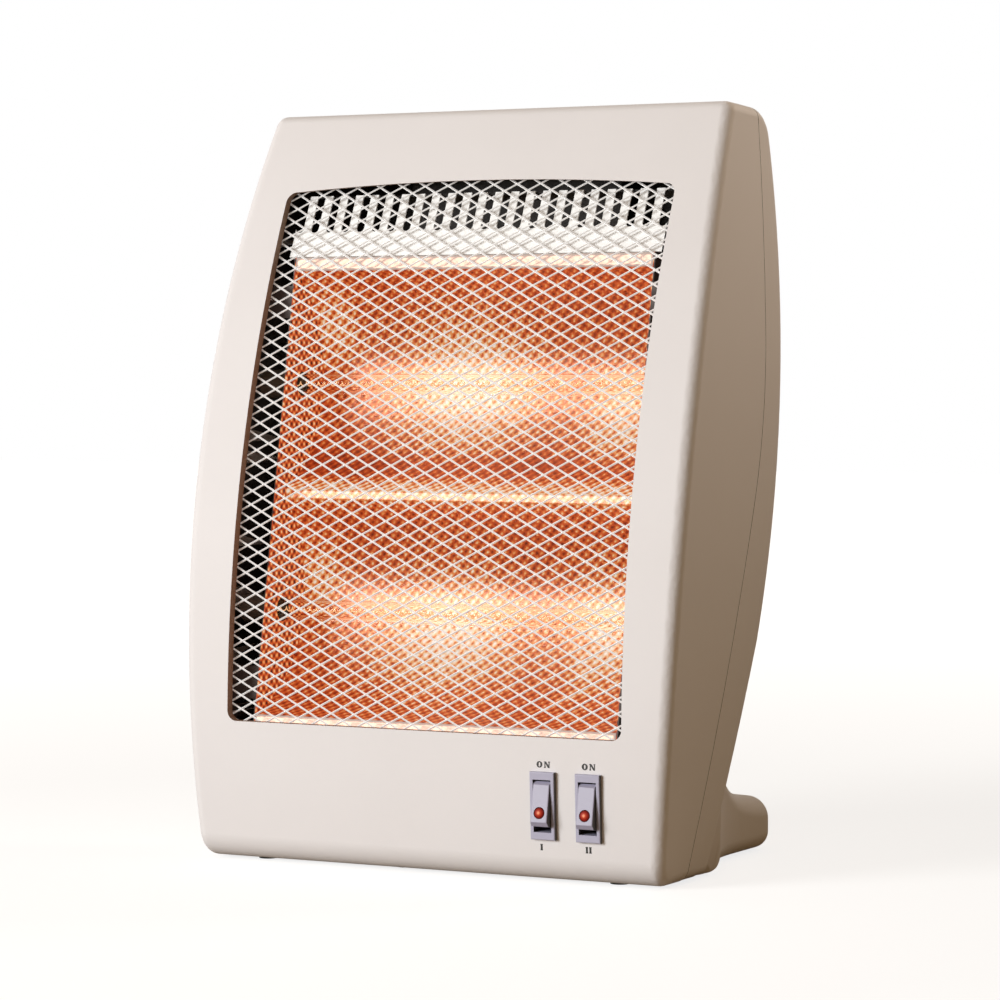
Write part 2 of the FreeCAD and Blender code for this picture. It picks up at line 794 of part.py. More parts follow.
def rear_slots(name, height, rows):
    """Rows and columns of long round-ended slots, as one cutting solid."""
    body = new_body(name)
    body.AllowCompound = True
    end = "(rear_slot_width - rear_slot_rise) / 2"
    first = f"-rear_slot_column_pitch * {(REAR_COLUMNS - 1) / 2}"
    sketch = outline(new_sketch(f"{name}_sketch", "front", body), [
        (f"{first} - {end}", f"{height} - rear_slot_rise / 2"),
        (f"{first} + {end}", f"{height} - rear_slot_rise / 2", "rear_slot_rise / 2 + end_arc_ease", -1),
        (f"{first} + {end}", f"{height} + rear_slot_rise / 2"),
        (f"{first} - {end}", f"{height} + rear_slot_rise / 2", "rear_slot_rise / 2 + end_arc_ease", -1),
    ])
    pad = grow(body, "Pad", sketch, "2 * foot_reach", symmetric=True)
    pattern = body.newObject("PartDesign::MultiTransform", f"{name}_rows")
    pattern.Originals = [pad]
    steps = []
    for axis, count, pitch in (
        ("H_Axis", REAR_COLUMNS, "rear_slot_column_pitch"), ("V_Axis", rows, "rear_slot_row_pitch")):
        step = body.newObject("PartDesign::LinearPattern", f"{name}_{axis[0]}")
        step.Direction = (sketch, [axis])
        step.Occurrences = count
        bind(step, Length=f"{count - 1} * {pitch}")
        steps.append(step)
    pattern.Transformations = steps
    body.Tip = pattern
    return body


WALL_LEAN = "(atan((knee_setback - base_setback) / (knee_height - pad_proud)) / (1 deg))"
BUSH_SETBACK = "base_setback + (bush_height - pad_proud) * tan(" + WALL_LEAN + ")"


def bush_bar(name, diameter, start, length):
    """A round bar square to the sloping rear wall, from a distance outside it."""
    item = doc.addObject("Part::Cylinder", name)
    bind(item, Radius=f"({diameter}) / 2", Height=length)
    return place(
        item, y=behind(f"{BUSH_SETBACK} + ({start}) * cos({WALL_LEAN})"),
        z=f"bush_height - ({start}) * sin({WALL_LEAN})", turn=f"-90 - {WALL_LEAN}")


bush_hole = bush_bar("bush_hole", "bush_diameter + 2 * seat_gap", "-bush_length", "2 * bush_length")
footed_wall = join("footed_wall", [rear_wall, foot_shell, mirror("foot_mirrored", foot_shell)])
foot_hollows = join("foot_hollows", [foot_hollow, mirror("foot_hollow_mirrored", foot_hollow)])
rear_skin = merge("rear_skin", "Cut", footed_wall, foot_hollows)
rear_body = join("rear_body", [rear_skin, wells, grip_shell])
rear_cuts = [grip_pocket, bush_hole] + well_cuts
rear_cuts.append(rear_slots("upper_vents", "upper_slot_height", UPPER_REAR_ROWS))
rear_cuts.append(rear_slots("lower_vents", "lower_slot_height", LOWER_REAR_ROWS))
rear_cover = merge("rear_cover", "Cut", rear_body, join("all_rear_cuts", rear_cuts))


# Wire mesh: one holed sheet, bowed like the front

def mesh_holes():
    """Diamond gaps in staggered rows, each drawn in by half a strand."""
    half_width, half_rise = val("mesh_cell_width / 2"), val("mesh_cell_height / 2")
    inradius = half_width * half_rise / math.hypot(half_width, half_rise)
    open_share = 1 - val("mesh_strand / 2") / inradius
    across, up = half_width * open_share, half_rise * open_share
    middle = Vector(0, val(behind("-overrun")), val("(window_bottom + window_top) / 2"))
    columns = math.ceil(val("window_width / mesh_cell_width"))
    rows = math.ceil(val("(window_top - window_bottom) / mesh_cell_height"))
    holes = []
    for column in range(-columns, columns + 1):
        for row in range(-rows, rows + 1):
            if (column + row) % 2:
                continue
            centre = middle + Vector(column * half_width, 0, row * half_rise)
            corners = [Vector(across, 0, 0), Vector(0, 0, up), Vector(-across, 0, 0), Vector(0, 0, -up)]
            loop = [centre + corner for corner in corners]
            holes.append(Part.Face(Part.makePolygon(loop + loop[:1])))
    return Part.Compound(holes)


mesh_blank = window_prism("mesh_blank", "mesh_margin")
mesh_band = bowed_band("mesh_band", "reveal_depth + seat_gap", "reveal_depth + seat_gap + mesh_sheet")
doc.recompute()
through = Vector(0, val("rear_top_setback"), 0)
window_face = min(window.Shape.Faces, key=lambda face: face.CenterOfMass.y)
gaps = mesh_holes().common(window_face)
net = mesh_blank.Shape.common(mesh_band.Shape).cut(gaps.extrude(through))
mesh_grille = doc.addObject("Part::Feature", "mesh_grille")
mesh_grille.Shape = net
print("mesh gaps", len(gaps.Faces))


# Reflector, its end plates and the vent plate

HALF_RISE = "reflector_rise / 2"
reflector = new_body("reflector")
reflector_fold = [
    ("0", "0"),
    ("0", "lip_rise", "trough_radius", -1),
    ("ridge_depth", f"{HALF_RISE} - ridge_rise / 2"),
    ("ridge_depth", f"{HALF_RISE} + ridge_rise / 2", "trough_radius", -1),
    ("0", "reflector_rise - lip_rise"),
    ("0", "reflector_rise"),
    ("reflector_sheet", "reflector_rise"),
    ("reflector_sheet", "reflector_rise - lip_rise", "trough_radius", 1),
    ("ridge_depth + reflector_sheet", f"{HALF_RISE} + ridge_rise / 2"),
    ("ridge_depth + reflector_sheet", f"{HALF_RISE} - ridge_rise / 2", "trough_radius", 1),
    ("reflector_sheet", "lip_rise"),
    ("reflector_sheet", "0"),
]
fold_sketch = outline(new_sketch("reflector_fold", "side", reflector), reflector_fold)
grow(reflector, "Pad", fold_sketch, "reflector_width", symmetric=True)
place(reflector, turn="-rim_tilt", **on_rim())

END_X = "(reflector_width / 2 + seat_gap)"
end_plate = new_body("reflector_end_right")
end_sketch = outline(new_sketch("end_outline", "side", end_plate), [
    ("0", "0"),
    ("end_depth - end_corner", "0"),
    ("end_depth", "end_corner"),
    ("end_depth", "reflector_rise - end_corner"),
    ("end_depth - end_corner", "reflector_rise"),
    ("0", "reflector_rise"),
])
grow(end_plate, "Pad", end_sketch, "end_sheet")
for level, rise in TABS.items():
    tab = rectangle(
        new_sketch(f"tab_{level}", "front", end_plate), "tab_reach / 2", rise, "tab_reach", "tab_rise")
    grow(end_plate, "Pad", tab, "end_sheet", backwards=True)
    hole = circle(
        new_sketch(f"tab_hole_{level}", "front", end_plate), f"post_x - {END_X}", rise,
        "screw_diameter + 2 * slide_gap")
    pocket(end_plate, hole, "2 * end_sheet", symmetric=True)
for level, rise in (("lower", LOWER_TUBE), ("upper", UPPER_TUBE)):
    hole = circle(
        new_sketch(f"tube_hole_{level}", "side", end_plate), "tube_depth", rise, "tube_hole_diameter")
    pocket(end_plate, hole, "3 * end_sheet", symmetric=True)
place(end_plate, x=END_X, turn="-rim_tilt", **on_rim())
reflector_end_left = mirror("reflector_end_left", end_plate)

vent_plate = new_body("vent_plate")
vent_fold = outline(new_sketch("vent_fold", "side", vent_plate), [
    ("0", "0"),
    ("0", "vent_rise"),
    ("vent_flange", "vent_rise"),
    ("vent_flange", "vent_rise - vent_sheet"),
    ("vent_sheet", "vent_rise - vent_sheet"),
    ("vent_sheet", "0"),
])
grow(vent_plate, "Pad", vent_fold, "vent_width", symmetric=True)
first_slot = f"-slot_pitch * {(VENT_SLOTS - 1) / 2}"
slot_sketch = outline(new_sketch("vent_slot", "front", vent_plate), [
    (f"{first_slot} - slot_width / 2", "slot_bottom + slot_width / 2", "slot_width / 2 + end_arc_ease", -1),
    (f"{first_slot} + slot_width / 2", "slot_bottom + slot_width / 2"),
    (f"{first_slot} + slot_width / 2", "vent_rise + overrun"),
    (f"{first_slot} - slot_width / 2", "vent_rise + overrun"),
])
doc.recompute()
uncut = vent_plate.Shape.Volume
slot_cut = grow(vent_plate, "Pocket", slot_sketch, "3 * vent_sheet", symmetric=True)
slot_row = vent_plate.newObject("PartDesign::LinearPattern", "vent_slots")
slot_row.Originals = [slot_cut]
slot_row.Direction = (slot_sketch, ["H_Axis"])
slot_row.Occurrences = VENT_SLOTS
bind(slot_row, Length=f"{VENT_SLOTS - 1} * slot_pitch")
vent_plate.Tip = slot_row
doc.recompute()
cut_check(vent_plate, uncut, "vent_slots")
place(vent_plate, turn="-vent_tilt", **on_rim("0", "reflector_rise + slide_gap"))


# Quartz tubes with their coils, ceramic caps and clips

def rim_bar(name, diameter, start, length, rise):
    """A round bar across the heater, at the depth of the tubes."""
    where = on_rim("tube_depth", rise)
    return cylinder(name, diameter, length, start, where["y"], where["z"], along="x")


def tube_set(level, rise):
    """One tube, its coil, its pair of caps and the clip of its right end."""
    glass = merge(
        f"{level}_tube", "Cut",
        rim_bar(f"{level}_glass", "tube_diameter", "-tube_length / 2", "tube_length", rise),
        rim_bar(f"{level}_void", "tube_diameter - 2 * tube_wall", "-tube_length", "2 * tube_length", rise))
    coil = rim_bar(f"{level}_coil", "coil_diameter", "-tube_length / 2", "tube_length", rise)
    cap_start = "(tube_length / 2 - cap_socket)"
    cap = merge(
        f"{level}_cap_right", "Cut",
        rim_bar(f"{level}_cap_bar", "cap_diameter", cap_start, "cap_length", rise),
        rim_bar(
            f"{level}_cap_bore", "tube_diameter + 2 * seat_gap", "0", "tube_length / 2 + seat_gap", rise))
    caps = group(f"{level}_tube_caps", [cap, mirror(f"{level}_cap_left", cap)])
    inside = "cap_diameter + 2 * seat_gap"
    clip_start = f"({END_X} + end_sheet + seat_gap)"
    ring = merge(
        f"{level}_clip_ring", "Cut",
        rim_bar(f"{level}_clip_bar", f"{inside} + 2 * clip_sheet", clip_start, "clip_length", rise),
        rim_bar(f"{level}_clip_bore", inside, "0", "tube_length", rise))
    mouth = block(f"{level}_clip_mouth", "tube_length", "cap_diameter", "clip_mouth")
    place(mouth, turn="-rim_tilt", **on_rim("tube_depth - cap_diameter", f"{rise} - clip_mouth / 2"))
    return merge(f"{level}_clip_right", "Cut", ring, mouth), (glass, coil, caps)


lower_clip, lower_set = tube_set("lower", LOWER_TUBE)
upper_clip, upper_set = tube_set("upper", UPPER_TUBE)
right_clips = group("right_tube_clips", [lower_clip, upper_clip])
left_clips = mirror("left_tube_clips", right_clips)


# Rocker switches: housing, rocker, lens and blades

FACE_DEPTH = "((rocker_pivot_depth + rocker_rise / 2 * sin(rocker_swing)) / cos(rocker_swing))"
PIVOT_DEPTH = "(rocker_pivot_depth - bezel_proud)"


def soften(body, size, wanted):
    """Rounds the edges of a body's tip that are wanted."""
    doc.recompute()
    tip = body.Tip
    names = [f"Edge{number}" for number, edge in enumerate(tip.Shape.Edges, start=1) if wanted(edge)]
    feature = body.newObject("PartDesign::Fillet", f"{body.Name}_round_{len(body.Group)}")
    feature.Base = (tip, names)
    bind(feature, Radius=size)
    doc.recompute()
    return feature


def raised_sketch(name, body, plane, distance):
    """A sketch on a plane that stands a distance off an origin plane."""
    sketch = new_sketch(name, plane, body)
    sketch.setExpression("AttachmentOffset.Base.z", ex(distance))
    return sketch


def switch_housing(side):
    body = new_body(f"switch_housing_{side}")
    bezel = rectangle(new_sketch(f"bezel_{side}", "front", body), "0", "0", "bezel_width", "bezel_height")
    grow(body, "Pad", bezel, "bezel_proud")
    face = -val("bezel_proud")
    soften(body, "bezel_round", lambda edge: abs(edge.BoundBox.YMax - face) < val("seat_gap"))
    case = rectangle(
        new_sketch(f"switch_case_{side}", "front", body), "0", "0", "switch_width", "switch_rise")
    grow(body, "Pad", case, "switch_depth", backwards=True)
    cavity = rectangle(
        new_sketch(f"rocker_cavity_{side}", "front", body), "0", "0", "rocker_cavity_width",
        "rocker_cavity_rise")
    pocket(body, cavity, "2 * rocker_cavity_depth", symmetric=True)
    hole = circle(
        new_sketch(f"pivot_hole_{side}", "side", body), PIVOT_DEPTH, "0", "pivot_diameter + 2 * shaft_gap")
    pocket(body, hole, "pivot_length + 2 * seat_gap", symmetric=True)
    return place(body, x=switch_x(side), turn=PANEL_LEAN, **on_panel())


def on_rocker(item, side):
    """Places an item that turns with a rocker, at rest with the top pressed in."""
    return place(item, x=switch_x(side), turn=f"{PANEL_LEAN} - rocker_swing", **on_panel(PIVOT_DEPTH))


def rocker(side):
    body = new_body(f"rocker_{side}")
    half = "rocker_rise / 2"
    wedge = outline(new_sketch(f"rocker_wedge_{side}", "side", body), [
        (f"-{FACE_DEPTH}", f"rocker_toe - {half}"),
        (f"-{FACE_DEPTH}", f"{half} - rocker_toe"),
        (f"rocker_toe - {FACE_DEPTH}", half),
        ("0", half),
        ("rocker_back_depth", "rocker_back_rise / 2"),
        ("rocker_back_depth", "-rocker_back_rise / 2"),
        ("0", f"-{half}"),
        (f"rocker_toe - {FACE_DEPTH}", f"-{half}"),
    ])
    grow(body, "Pad", wedge, "rocker_width", symmetric=True)
    face = -val(FACE_DEPTH)
    soften(body, "rocker_round", lambda edge: abs(edge.BoundBox.YMax - face) < val("seat_gap"))
    pin_sketch = circle(new_sketch(f"rocker_pin_{side}", "side", body), "0", "0", "pivot_diameter")
    grow(body, "Pad", pin_sketch, "pivot_length", symmetric=True)
    seat = raised_sketch(f"lens_hole_{side}", body, "front", FACE_DEPTH)
    pocket(body, circle(seat, "0", "-lens_drop", "lens_diameter + 2 * seat_gap"), "lens_seat")
    return on_rocker(body, side)


def lens(side):
    body = new_body(f"lamp_lens_{side}")
    base = raised_sketch(f"lens_base_{side}", body, "front", f"{FACE_DEPTH} - lens_seat + seat_gap")
    disc = circle(base, "0", "-lens_drop", "lens_diameter")
    grow(body, "Pad", disc, "lens_seat - seat_gap + lens_proud")
    front = -val(f"{FACE_DEPTH} + lens_proud")
    soften(body, "lens_round", lambda edge: edge.BoundBox.YMax < front + val("seat_gap"))
    return on_rocker(body, side)


def blades(side):
    """The blade terminals behind one switch."""
    items = []
    for way in range(BLADES):
        rise = f"(blade_pitch * {way - (BLADES - 1) / 2} - blade_sheet / 2)"
        item = block(f"blade_{side}_{way}", "blade_width", "blade_length", "blade_sheet")
        items.append(place(
            item, x=f"{switch_x(side)} - blade_width / 2", turn=PANEL_LEAN,
            **on_panel("switch_depth + seat_gap", rise)))
    return group(f"switch_blades_{side}", items)


switches = [make(side) for side in SIDES for make in (switch_housing, rocker, lens, blades)]


# Tip-over switch on the floor of the front shell

FLOOR = "(pad_proud + wall + seat_gap)"
tip_switch = new_body("tip_over_switch")
tip_case = rectangle(new_sketch("tip_case", "plan", tip_switch), "0", "0", "tip_width", "tip_depth")
grow(tip_switch, "Pad", tip_case, "tip_rise")
guide = circle(new_sketch("tip_guide", "plan", tip_switch), "0", "0", "plunger_diameter + 2 * shaft_gap")
pocket(tip_switch, guide, "2 * guide_rise", symmetric=True)
chamber = raised_sketch("tip_chamber", tip_switch, "plan", "guide_rise")
chamber_bore = circle(chamber, "0", "0", "collar_diameter + 2 * slide_gap")
pocket(tip_switch, chamber_bore, "tip_bore_rise - guide_rise", backwards=True)
place(tip_switch, x="tip_x", y=behind("tip_setback"), z=FLOOR)

plunger = join("tip_over_plunger", [
    cylinder("plunger_stem", "plunger_diameter", "plunger_length", "tip_x", behind("tip_setback"),
             "plunger_lift", along="z"),
    cylinder("plunger_collar", "collar_diameter", "collar_rise", "tip_x", behind("tip_setback"),
             "plunger_lift + collar_height", along="z"),
])


# Terminal block, thermal cut-out and cord bush

terminal_block = new_body("terminal_block")
block_profile = outline(new_sketch("block_profile", "side", terminal_block), [
    ("-block_depth / 2", "0"),
    ("-block_depth / 2", "block_step_rise"),
    ("block_step_depth - block_depth / 2", "block_step_rise"),
    ("block_step_depth - block_depth / 2", "block_rise"),
    ("block_depth / 2 - block_step_depth", "block_rise"),
    ("block_depth / 2 - block_step_depth", "block_step_rise"),
    ("block_depth / 2", "block_step_rise"),
    ("block_depth / 2", "0"),
])
grow(terminal_block, "Pad", block_profile, "block_width", symmetric=True)
for way in range(BLOCK_WAYS):
    entry = circle(
        new_sketch(f"block_entry_{way}", "front", terminal_block),
        f"block_screw_pitch * {way - (BLOCK_WAYS - 1) / 2}", "block_step_rise / 2", "block_screw_diameter")
    pocket(terminal_block, entry, "2 * block_depth", symmetric=True)
place(terminal_block, x="block_x + block_width / 2", y=behind("tip_setback"), z=FLOOR)

cutout_place = on_rim("cutout_depth", HALF_RISE)
CUTOUT_X = f"({END_X} + end_sheet + seat_gap)"
thermal_cutout = join("thermal_cutout", [
    cylinder("cutout_flange", "cutout_flange_diameter", "cutout_flange_sheet", CUTOUT_X, cutout_place["y"],
             cutout_place["z"], along="x"),
    cylinder("cutout_can", "cutout_diameter", "cutout_rise", CUTOUT_X, cutout_place["y"],
             cutout_place["z"], along="x"),
])

bush_solid = join("bush_solid", [
    bush_bar("bush_shank", "bush_diameter", "-bush_length", "bush_length + seat_gap + bush_flange_rise"),
    bush_bar("bush_flange", "bush_flange_diameter", "seat_gap", "bush_flange_rise"),
])
bush_void = bush_bar("bush_void", "bush_bore", "-2 * bush_length", "4 * bush_length")
cord_bush = merge("cord_bush", "Cut", bush_solid, bush_void)


# Pads and screws

front_pads = group("front_pads", [cylinder(
    f"front_pad_{side}", "front_pad_diameter", "pad_proud", f"{sign} * front_pad_x",
    behind("front_pad_setback"), along="z") for side, sign in SIDES.items()])
rear_pads = group("rear_pads", [cylinder(
    f"rear_pad_{side}", "pad_diameter", "pad_proud", f"{sign} * rear_pad_x",
    behind("rear_pad_setback"), along="z") for side, sign in SIDES.items()])


def cover_screw(side, sign, level):
    """A screw from the floor of a well into its boss."""
    height, setback = BOSSES[level]
    x = f"{sign} * boss_x"
    seat = f"{setback} + well_floor + 2 * seat_gap"
    tip = f"{seat} - screw_length + seat_gap"
    return join(f"cover_screw_{side}_{level}", [
        cylinder(
            f"cover_shank_{side}_{level}", "screw_diameter", "screw_length - seat_gap",
            x, behind(tip), height),
        cylinder(
            f"cover_head_{side}_{level}", "screw_head_diameter", "screw_head_rise",
            x, behind(seat), height),
    ])


def tab_screw(side, sign, level):
    """A screw through an end plate's tab into its post."""
    rise = TABS[level]
    return join(f"tab_screw_{side}_{level}", [
        tilted_bar(f"tab_shank_{side}_{level}", "screw_diameter", "tab_screw_length", f"{sign} * post_x",
                   "end_sheet + seat_gap - tab_screw_length", rise),
        tilted_bar(f"tab_head_{side}_{level}", "screw_head_diameter", "screw_head_rise", f"{sign} * post_x",
                   "end_sheet + seat_gap", rise),
    ])


cover_screws = group("cover_screws", four(cover_screw))
reflector_screws = group("reflector_screws", four(tab_screw))


# Every piece under its own name

PIECES = {
    "front_shell": front_shell,
    "rear_cover": rear_cover,
    "mesh_grille": mesh_grille,
    "reflector": reflector,
    "reflector_end_right": end_plate,
    "reflector_end_left": reflector_end_left,
    "vent_plate": vent_plate,
    "lower_quartz_tube": lower_set[0],
    "lower_coil": lower_set[1],
    "lower_tube_caps": lower_set[2],
    "upper_quartz_tube": upper_set[0],
    "upper_coil": upper_set[1],
    "upper_tube_caps": upper_set[2],
    "right_tube_clips": right_clips,
    "left_tube_clips": left_clips,
    "tip_over_switch": tip_switch,
    "tip_over_plunger": plunger,
    "terminal_block": terminal_block,
    "thermal_cutout": thermal_cutout,
    "cord_bush": cord_bush,
    "front_pads": front_pads,
    "rear_pads": rear_pads,
    "cover_screws": cover_screws,
    "reflector_screws": reflector_screws,
}
for item in switches:
    PIECES[item.Label] = item

doc.recompute()
failed = [item.Name for item in doc.Objects if {"Invalid", "Error"} & set(item.State)]
if failed:
    raise RuntimeError(f"failed: {failed}")
for label, item in PIECES.items():
    item.Label = label
    if item.Shape.isNull() or not item.Shape.isValid() or not item.Shape.Solids:
        raise RuntimeError(f"{label} is not a sound solid")
os.makedirs("parts", exist_ok=True)
for label, item in PIECES.items():
    item.Shape.exportStep(f"parts/{label}.step")
print(len(PIECES), "pieces,", sum(len(item.Shape.Solids) for item in PIECES.values()), "solids")
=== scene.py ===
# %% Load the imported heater
import json
import math

import bmesh
import bpy
from mathutils import Matrix, Vector
from mathutils.bvhtree import BVHTree

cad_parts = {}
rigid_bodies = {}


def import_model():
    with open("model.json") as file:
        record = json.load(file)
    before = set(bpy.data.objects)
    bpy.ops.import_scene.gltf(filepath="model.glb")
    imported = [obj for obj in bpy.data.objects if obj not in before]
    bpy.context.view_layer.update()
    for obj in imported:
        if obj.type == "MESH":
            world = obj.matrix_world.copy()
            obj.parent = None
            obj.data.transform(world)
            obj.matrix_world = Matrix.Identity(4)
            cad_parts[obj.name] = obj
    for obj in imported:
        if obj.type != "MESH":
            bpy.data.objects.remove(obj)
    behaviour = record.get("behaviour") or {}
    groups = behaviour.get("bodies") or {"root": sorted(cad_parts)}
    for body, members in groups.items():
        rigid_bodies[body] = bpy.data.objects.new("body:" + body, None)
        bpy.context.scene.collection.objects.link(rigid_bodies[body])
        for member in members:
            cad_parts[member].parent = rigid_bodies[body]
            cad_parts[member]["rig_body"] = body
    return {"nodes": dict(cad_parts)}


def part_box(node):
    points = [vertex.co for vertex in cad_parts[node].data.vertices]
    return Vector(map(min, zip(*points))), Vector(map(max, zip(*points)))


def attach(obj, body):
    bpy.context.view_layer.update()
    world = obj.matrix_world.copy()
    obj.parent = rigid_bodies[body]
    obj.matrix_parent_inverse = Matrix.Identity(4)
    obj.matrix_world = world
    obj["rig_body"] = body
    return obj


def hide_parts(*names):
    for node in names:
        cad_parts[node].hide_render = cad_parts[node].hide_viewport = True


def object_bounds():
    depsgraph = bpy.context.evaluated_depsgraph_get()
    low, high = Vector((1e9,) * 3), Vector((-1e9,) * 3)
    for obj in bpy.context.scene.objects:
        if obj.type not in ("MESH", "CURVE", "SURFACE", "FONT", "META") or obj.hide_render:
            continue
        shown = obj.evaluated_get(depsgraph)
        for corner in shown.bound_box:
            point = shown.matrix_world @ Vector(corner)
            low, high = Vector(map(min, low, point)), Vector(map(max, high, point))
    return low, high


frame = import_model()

cad_low, cad_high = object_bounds()
print("nodes", len(frame["nodes"]), "box", [round(size, 4) for size in cad_high - cad_low])

# %% [markdown]
# # A halogen heater with two quartz tubes
#
# The heater stands upright: a cream plastic case with a bowed front, a diamond wire mesh in a large window,
# and behind it an embossed reflector with two glowing tubes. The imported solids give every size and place.
# This lesson adds what solids can't show: finishes, the fine wire mesh, the embossing, the coils and the
# lettering.
#
# ## Helpers
#
# Each new piece starts as a bmesh, becomes an object at the origin, and rides on a body of the packed
# model. One function does these last steps for every piece, so that none of them is forgotten. Lengths are
# in metres, so a millimetre has a name.

# %% Helpers for pieces
MM = 0.001
FRONT_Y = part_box("front_shell")[0].y
BOW_RADIUS = 614 * MM
BOW_HEIGHT = 64 * MM


def bow(height):
    """How far the bowed front lies behind its front-most line, at a height."""
    return BOW_RADIUS - math.sqrt(BOW_RADIUS**2 - (height - BOW_HEIGHT) ** 2)


def add_piece(name, bm, finish, body="housing", stands_for=()):
    mesh = bpy.data.meshes.new(name)
    bm.to_mesh(mesh)
    bm.free()
    mesh.materials.append(finish)
    piece = bpy.data.objects.new(name, mesh)
    bpy.context.scene.collection.objects.link(piece)
    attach(piece, body)
    if stands_for:
        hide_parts(*stands_for)
    print(name, len(mesh.polygons), "faces")
    return piece


def smooth_all(bm):
    for face in bm.faces:
        face.smooth = True


print("front at", round(FRONT_Y, 4))

# %% [markdown]
# ## Camera
#
# The photo was taken a little from the right, with a long lens, from about the height of the upper tube.
# The camera could be turned by hand until it looks right. Here its place and focal length come from a fit
# of the case's straight edges, so the render and the photo can be laid over each other.

# %% Camera
VIEW_AZIMUTH = math.radians(28)
VIEW_PITCH = math.radians(2.1)
CAMERA_PLACE = Vector((0.8335, -1.5686, 0.2385))
FOCAL_PIXELS = 3652
IMAGE_PIXELS = 1000
SENSOR_MM = 36

lens = bpy.data.cameras.new("photo_camera")
lens.sensor_width = SENSOR_MM
lens.lens = FOCAL_PIXELS / IMAGE_PIXELS * SENSOR_MM
camera = bpy.data.objects.new("photo_camera", lens)
bpy.context.scene.collection.objects.link(camera)
sight = Vector((
    -math.sin(VIEW_AZIMUTH) * math.cos(VIEW_PITCH),
    math.cos(VIEW_AZIMUTH) * math.cos(VIEW_PITCH),
    -math.sin(VIEW_PITCH),
))
camera.location = CAMERA_PLACE
camera.rotation_euler = sight.to_track_quat("-Z", "Y").to_euler()
bpy.context.scene.camera = camera
print("lens", round(lens.lens, 1), "mm")

# %% [markdown]
# ## Light
#
# In the photo the front is bright and the right side lies in a warm shade, so one large soft light stands
# at the front left and the world fills the shade with a weak warm tone. A small narrow light behind on the
# right lifts the upper part of that side. A picture of a studio as the world would do the same, but three
# plain tones are easier to set: one for what the camera sees, one for reflections and one for the shade.

# %% Lamps
KEY_PLACE = (-1.55, -2.6, 0.80)
KEY_AIM = Vector((0, 0, 0.18))
KEY_COLOUR = (0.98, 1.0, 1.0)
SIDE_PLACE = (0.55, 0.55, 0.75)
SIDE_AIM = Vector((0.13, 0.03, 0.36))
SIDE_COLOUR = (1.0, 0.86, 0.72)


def add_lamp(name, place, aim, colour, size, power, spread):
    """A round soft light that points at a place."""
    light = bpy.data.lights.new(name, "AREA")
    light.shape = "DISK"
    light.size = size
    light.energy = power
    light.color = colour
    light.spread = math.radians(spread)
    lamp = bpy.data.objects.new(name, light)
    bpy.context.scene.collection.objects.link(lamp)
    lamp.location = place
    lamp.rotation_euler = (aim - lamp.location).to_track_quat("-Z", "Y").to_euler()
    print(name, power, "W")


bpy.context.scene.view_settings.view_transform = "Standard"
add_lamp("key_light", KEY_PLACE, KEY_AIM, KEY_COLOUR, size=1.6, power=88, spread=180)
add_lamp("side_light", SIDE_PLACE, SIDE_AIM, SIDE_COLOUR, size=0.3, power=0.20, spread=44)

# %% World
SHADE_COLOUR = (0.214, 0.140, 0.064, 1)
GLOSS_COLOUR = (0.85, 0.82, 0.79, 1)
WHITE = (1, 1, 1, 1)

world = bpy.data.worlds.new("studio")
world.use_nodes = True
bpy.context.scene.world = world
sky = world.node_tree.nodes
sky.clear()
rays = sky.new("ShaderNodeLightPath")
grounds = {}
for use, colour in (("shade", SHADE_COLOUR), ("gloss", GLOSS_COLOUR), ("seen", WHITE)):
    grounds[use] = sky.new("ShaderNodeBackground")
    grounds[use].inputs["Color"].default_value = colour
glossed = sky.new("ShaderNodeMixShader")
chosen = sky.new("ShaderNodeMixShader")
world_out = sky.new("ShaderNodeOutputWorld")
join = world.node_tree.links.new
join(rays.outputs["Is Glossy Ray"], glossed.inputs[0])
join(grounds["shade"].outputs[0], glossed.inputs[1])
join(grounds["gloss"].outputs[0], glossed.inputs[2])
join(rays.outputs["Is Camera Ray"], chosen.inputs[0])
join(glossed.outputs[0], chosen.inputs[1])
join(grounds["seen"].outputs[0], chosen.inputs[2])
join(chosen.outputs[0], world_out.inputs["Surface"])
print("world with", len(grounds), "tones")

# %% [markdown]
# ## Floor
#
# The floor is plain and pale. It answers the camera with nearly white, and other rays with less, because a
# bright floor would light up the shaded side. Far off it fades into the white world, so no horizon shows. A
# curved backdrop would hide the horizon too, but it would stand in the way when the heater is seen from
# behind.

# %% Floor finish
FLOOR_COLOUR = (0.42, 0.35, 0.27, 1)
SEEN_COLOUR = (0.42, 0.42, 0.42, 1)
FLOOR_LIFT = (0.80, 1.0)
FADE_REACH = (0.4, 1.6)

paper = bpy.data.materials.new("pale_floor")
paper.use_nodes = True
paper_nodes = paper.node_tree.nodes
paper_nodes.clear()
matt = paper_nodes.new("ShaderNodeBsdfDiffuse")
matt.inputs["Color"].default_value = FLOOR_COLOUR
seen_matt = paper_nodes.new("ShaderNodeBsdfDiffuse")
seen_matt.inputs["Color"].default_value = SEEN_COLOUR
lift = paper_nodes.new("ShaderNodeEmission")
reach = paper_nodes.new("ShaderNodeVectorMath")
reach.operation = "LENGTH"
fade = paper_nodes.new("ShaderNodeMapRange")
for socket, value in zip(("From Min", "From Max", "To Min", "To Max"), FADE_REACH + FLOOR_LIFT):
    fade.inputs[socket].default_value = value
both = paper_nodes.new("ShaderNodeAddShader")
seen = paper_nodes.new("ShaderNodeMixShader")
seen_rays = paper_nodes.new("ShaderNodeLightPath")
paper_out = paper_nodes.new("ShaderNodeOutputMaterial")
join = paper.node_tree.links.new
join(paper_nodes.new("ShaderNodeTexCoord").outputs["Object"], reach.inputs[0])
join(reach.outputs["Value"], fade.inputs["Value"])
join(fade.outputs["Result"], lift.inputs["Strength"])
join(seen_matt.outputs[0], both.inputs[0])
join(lift.outputs[0], both.inputs[1])
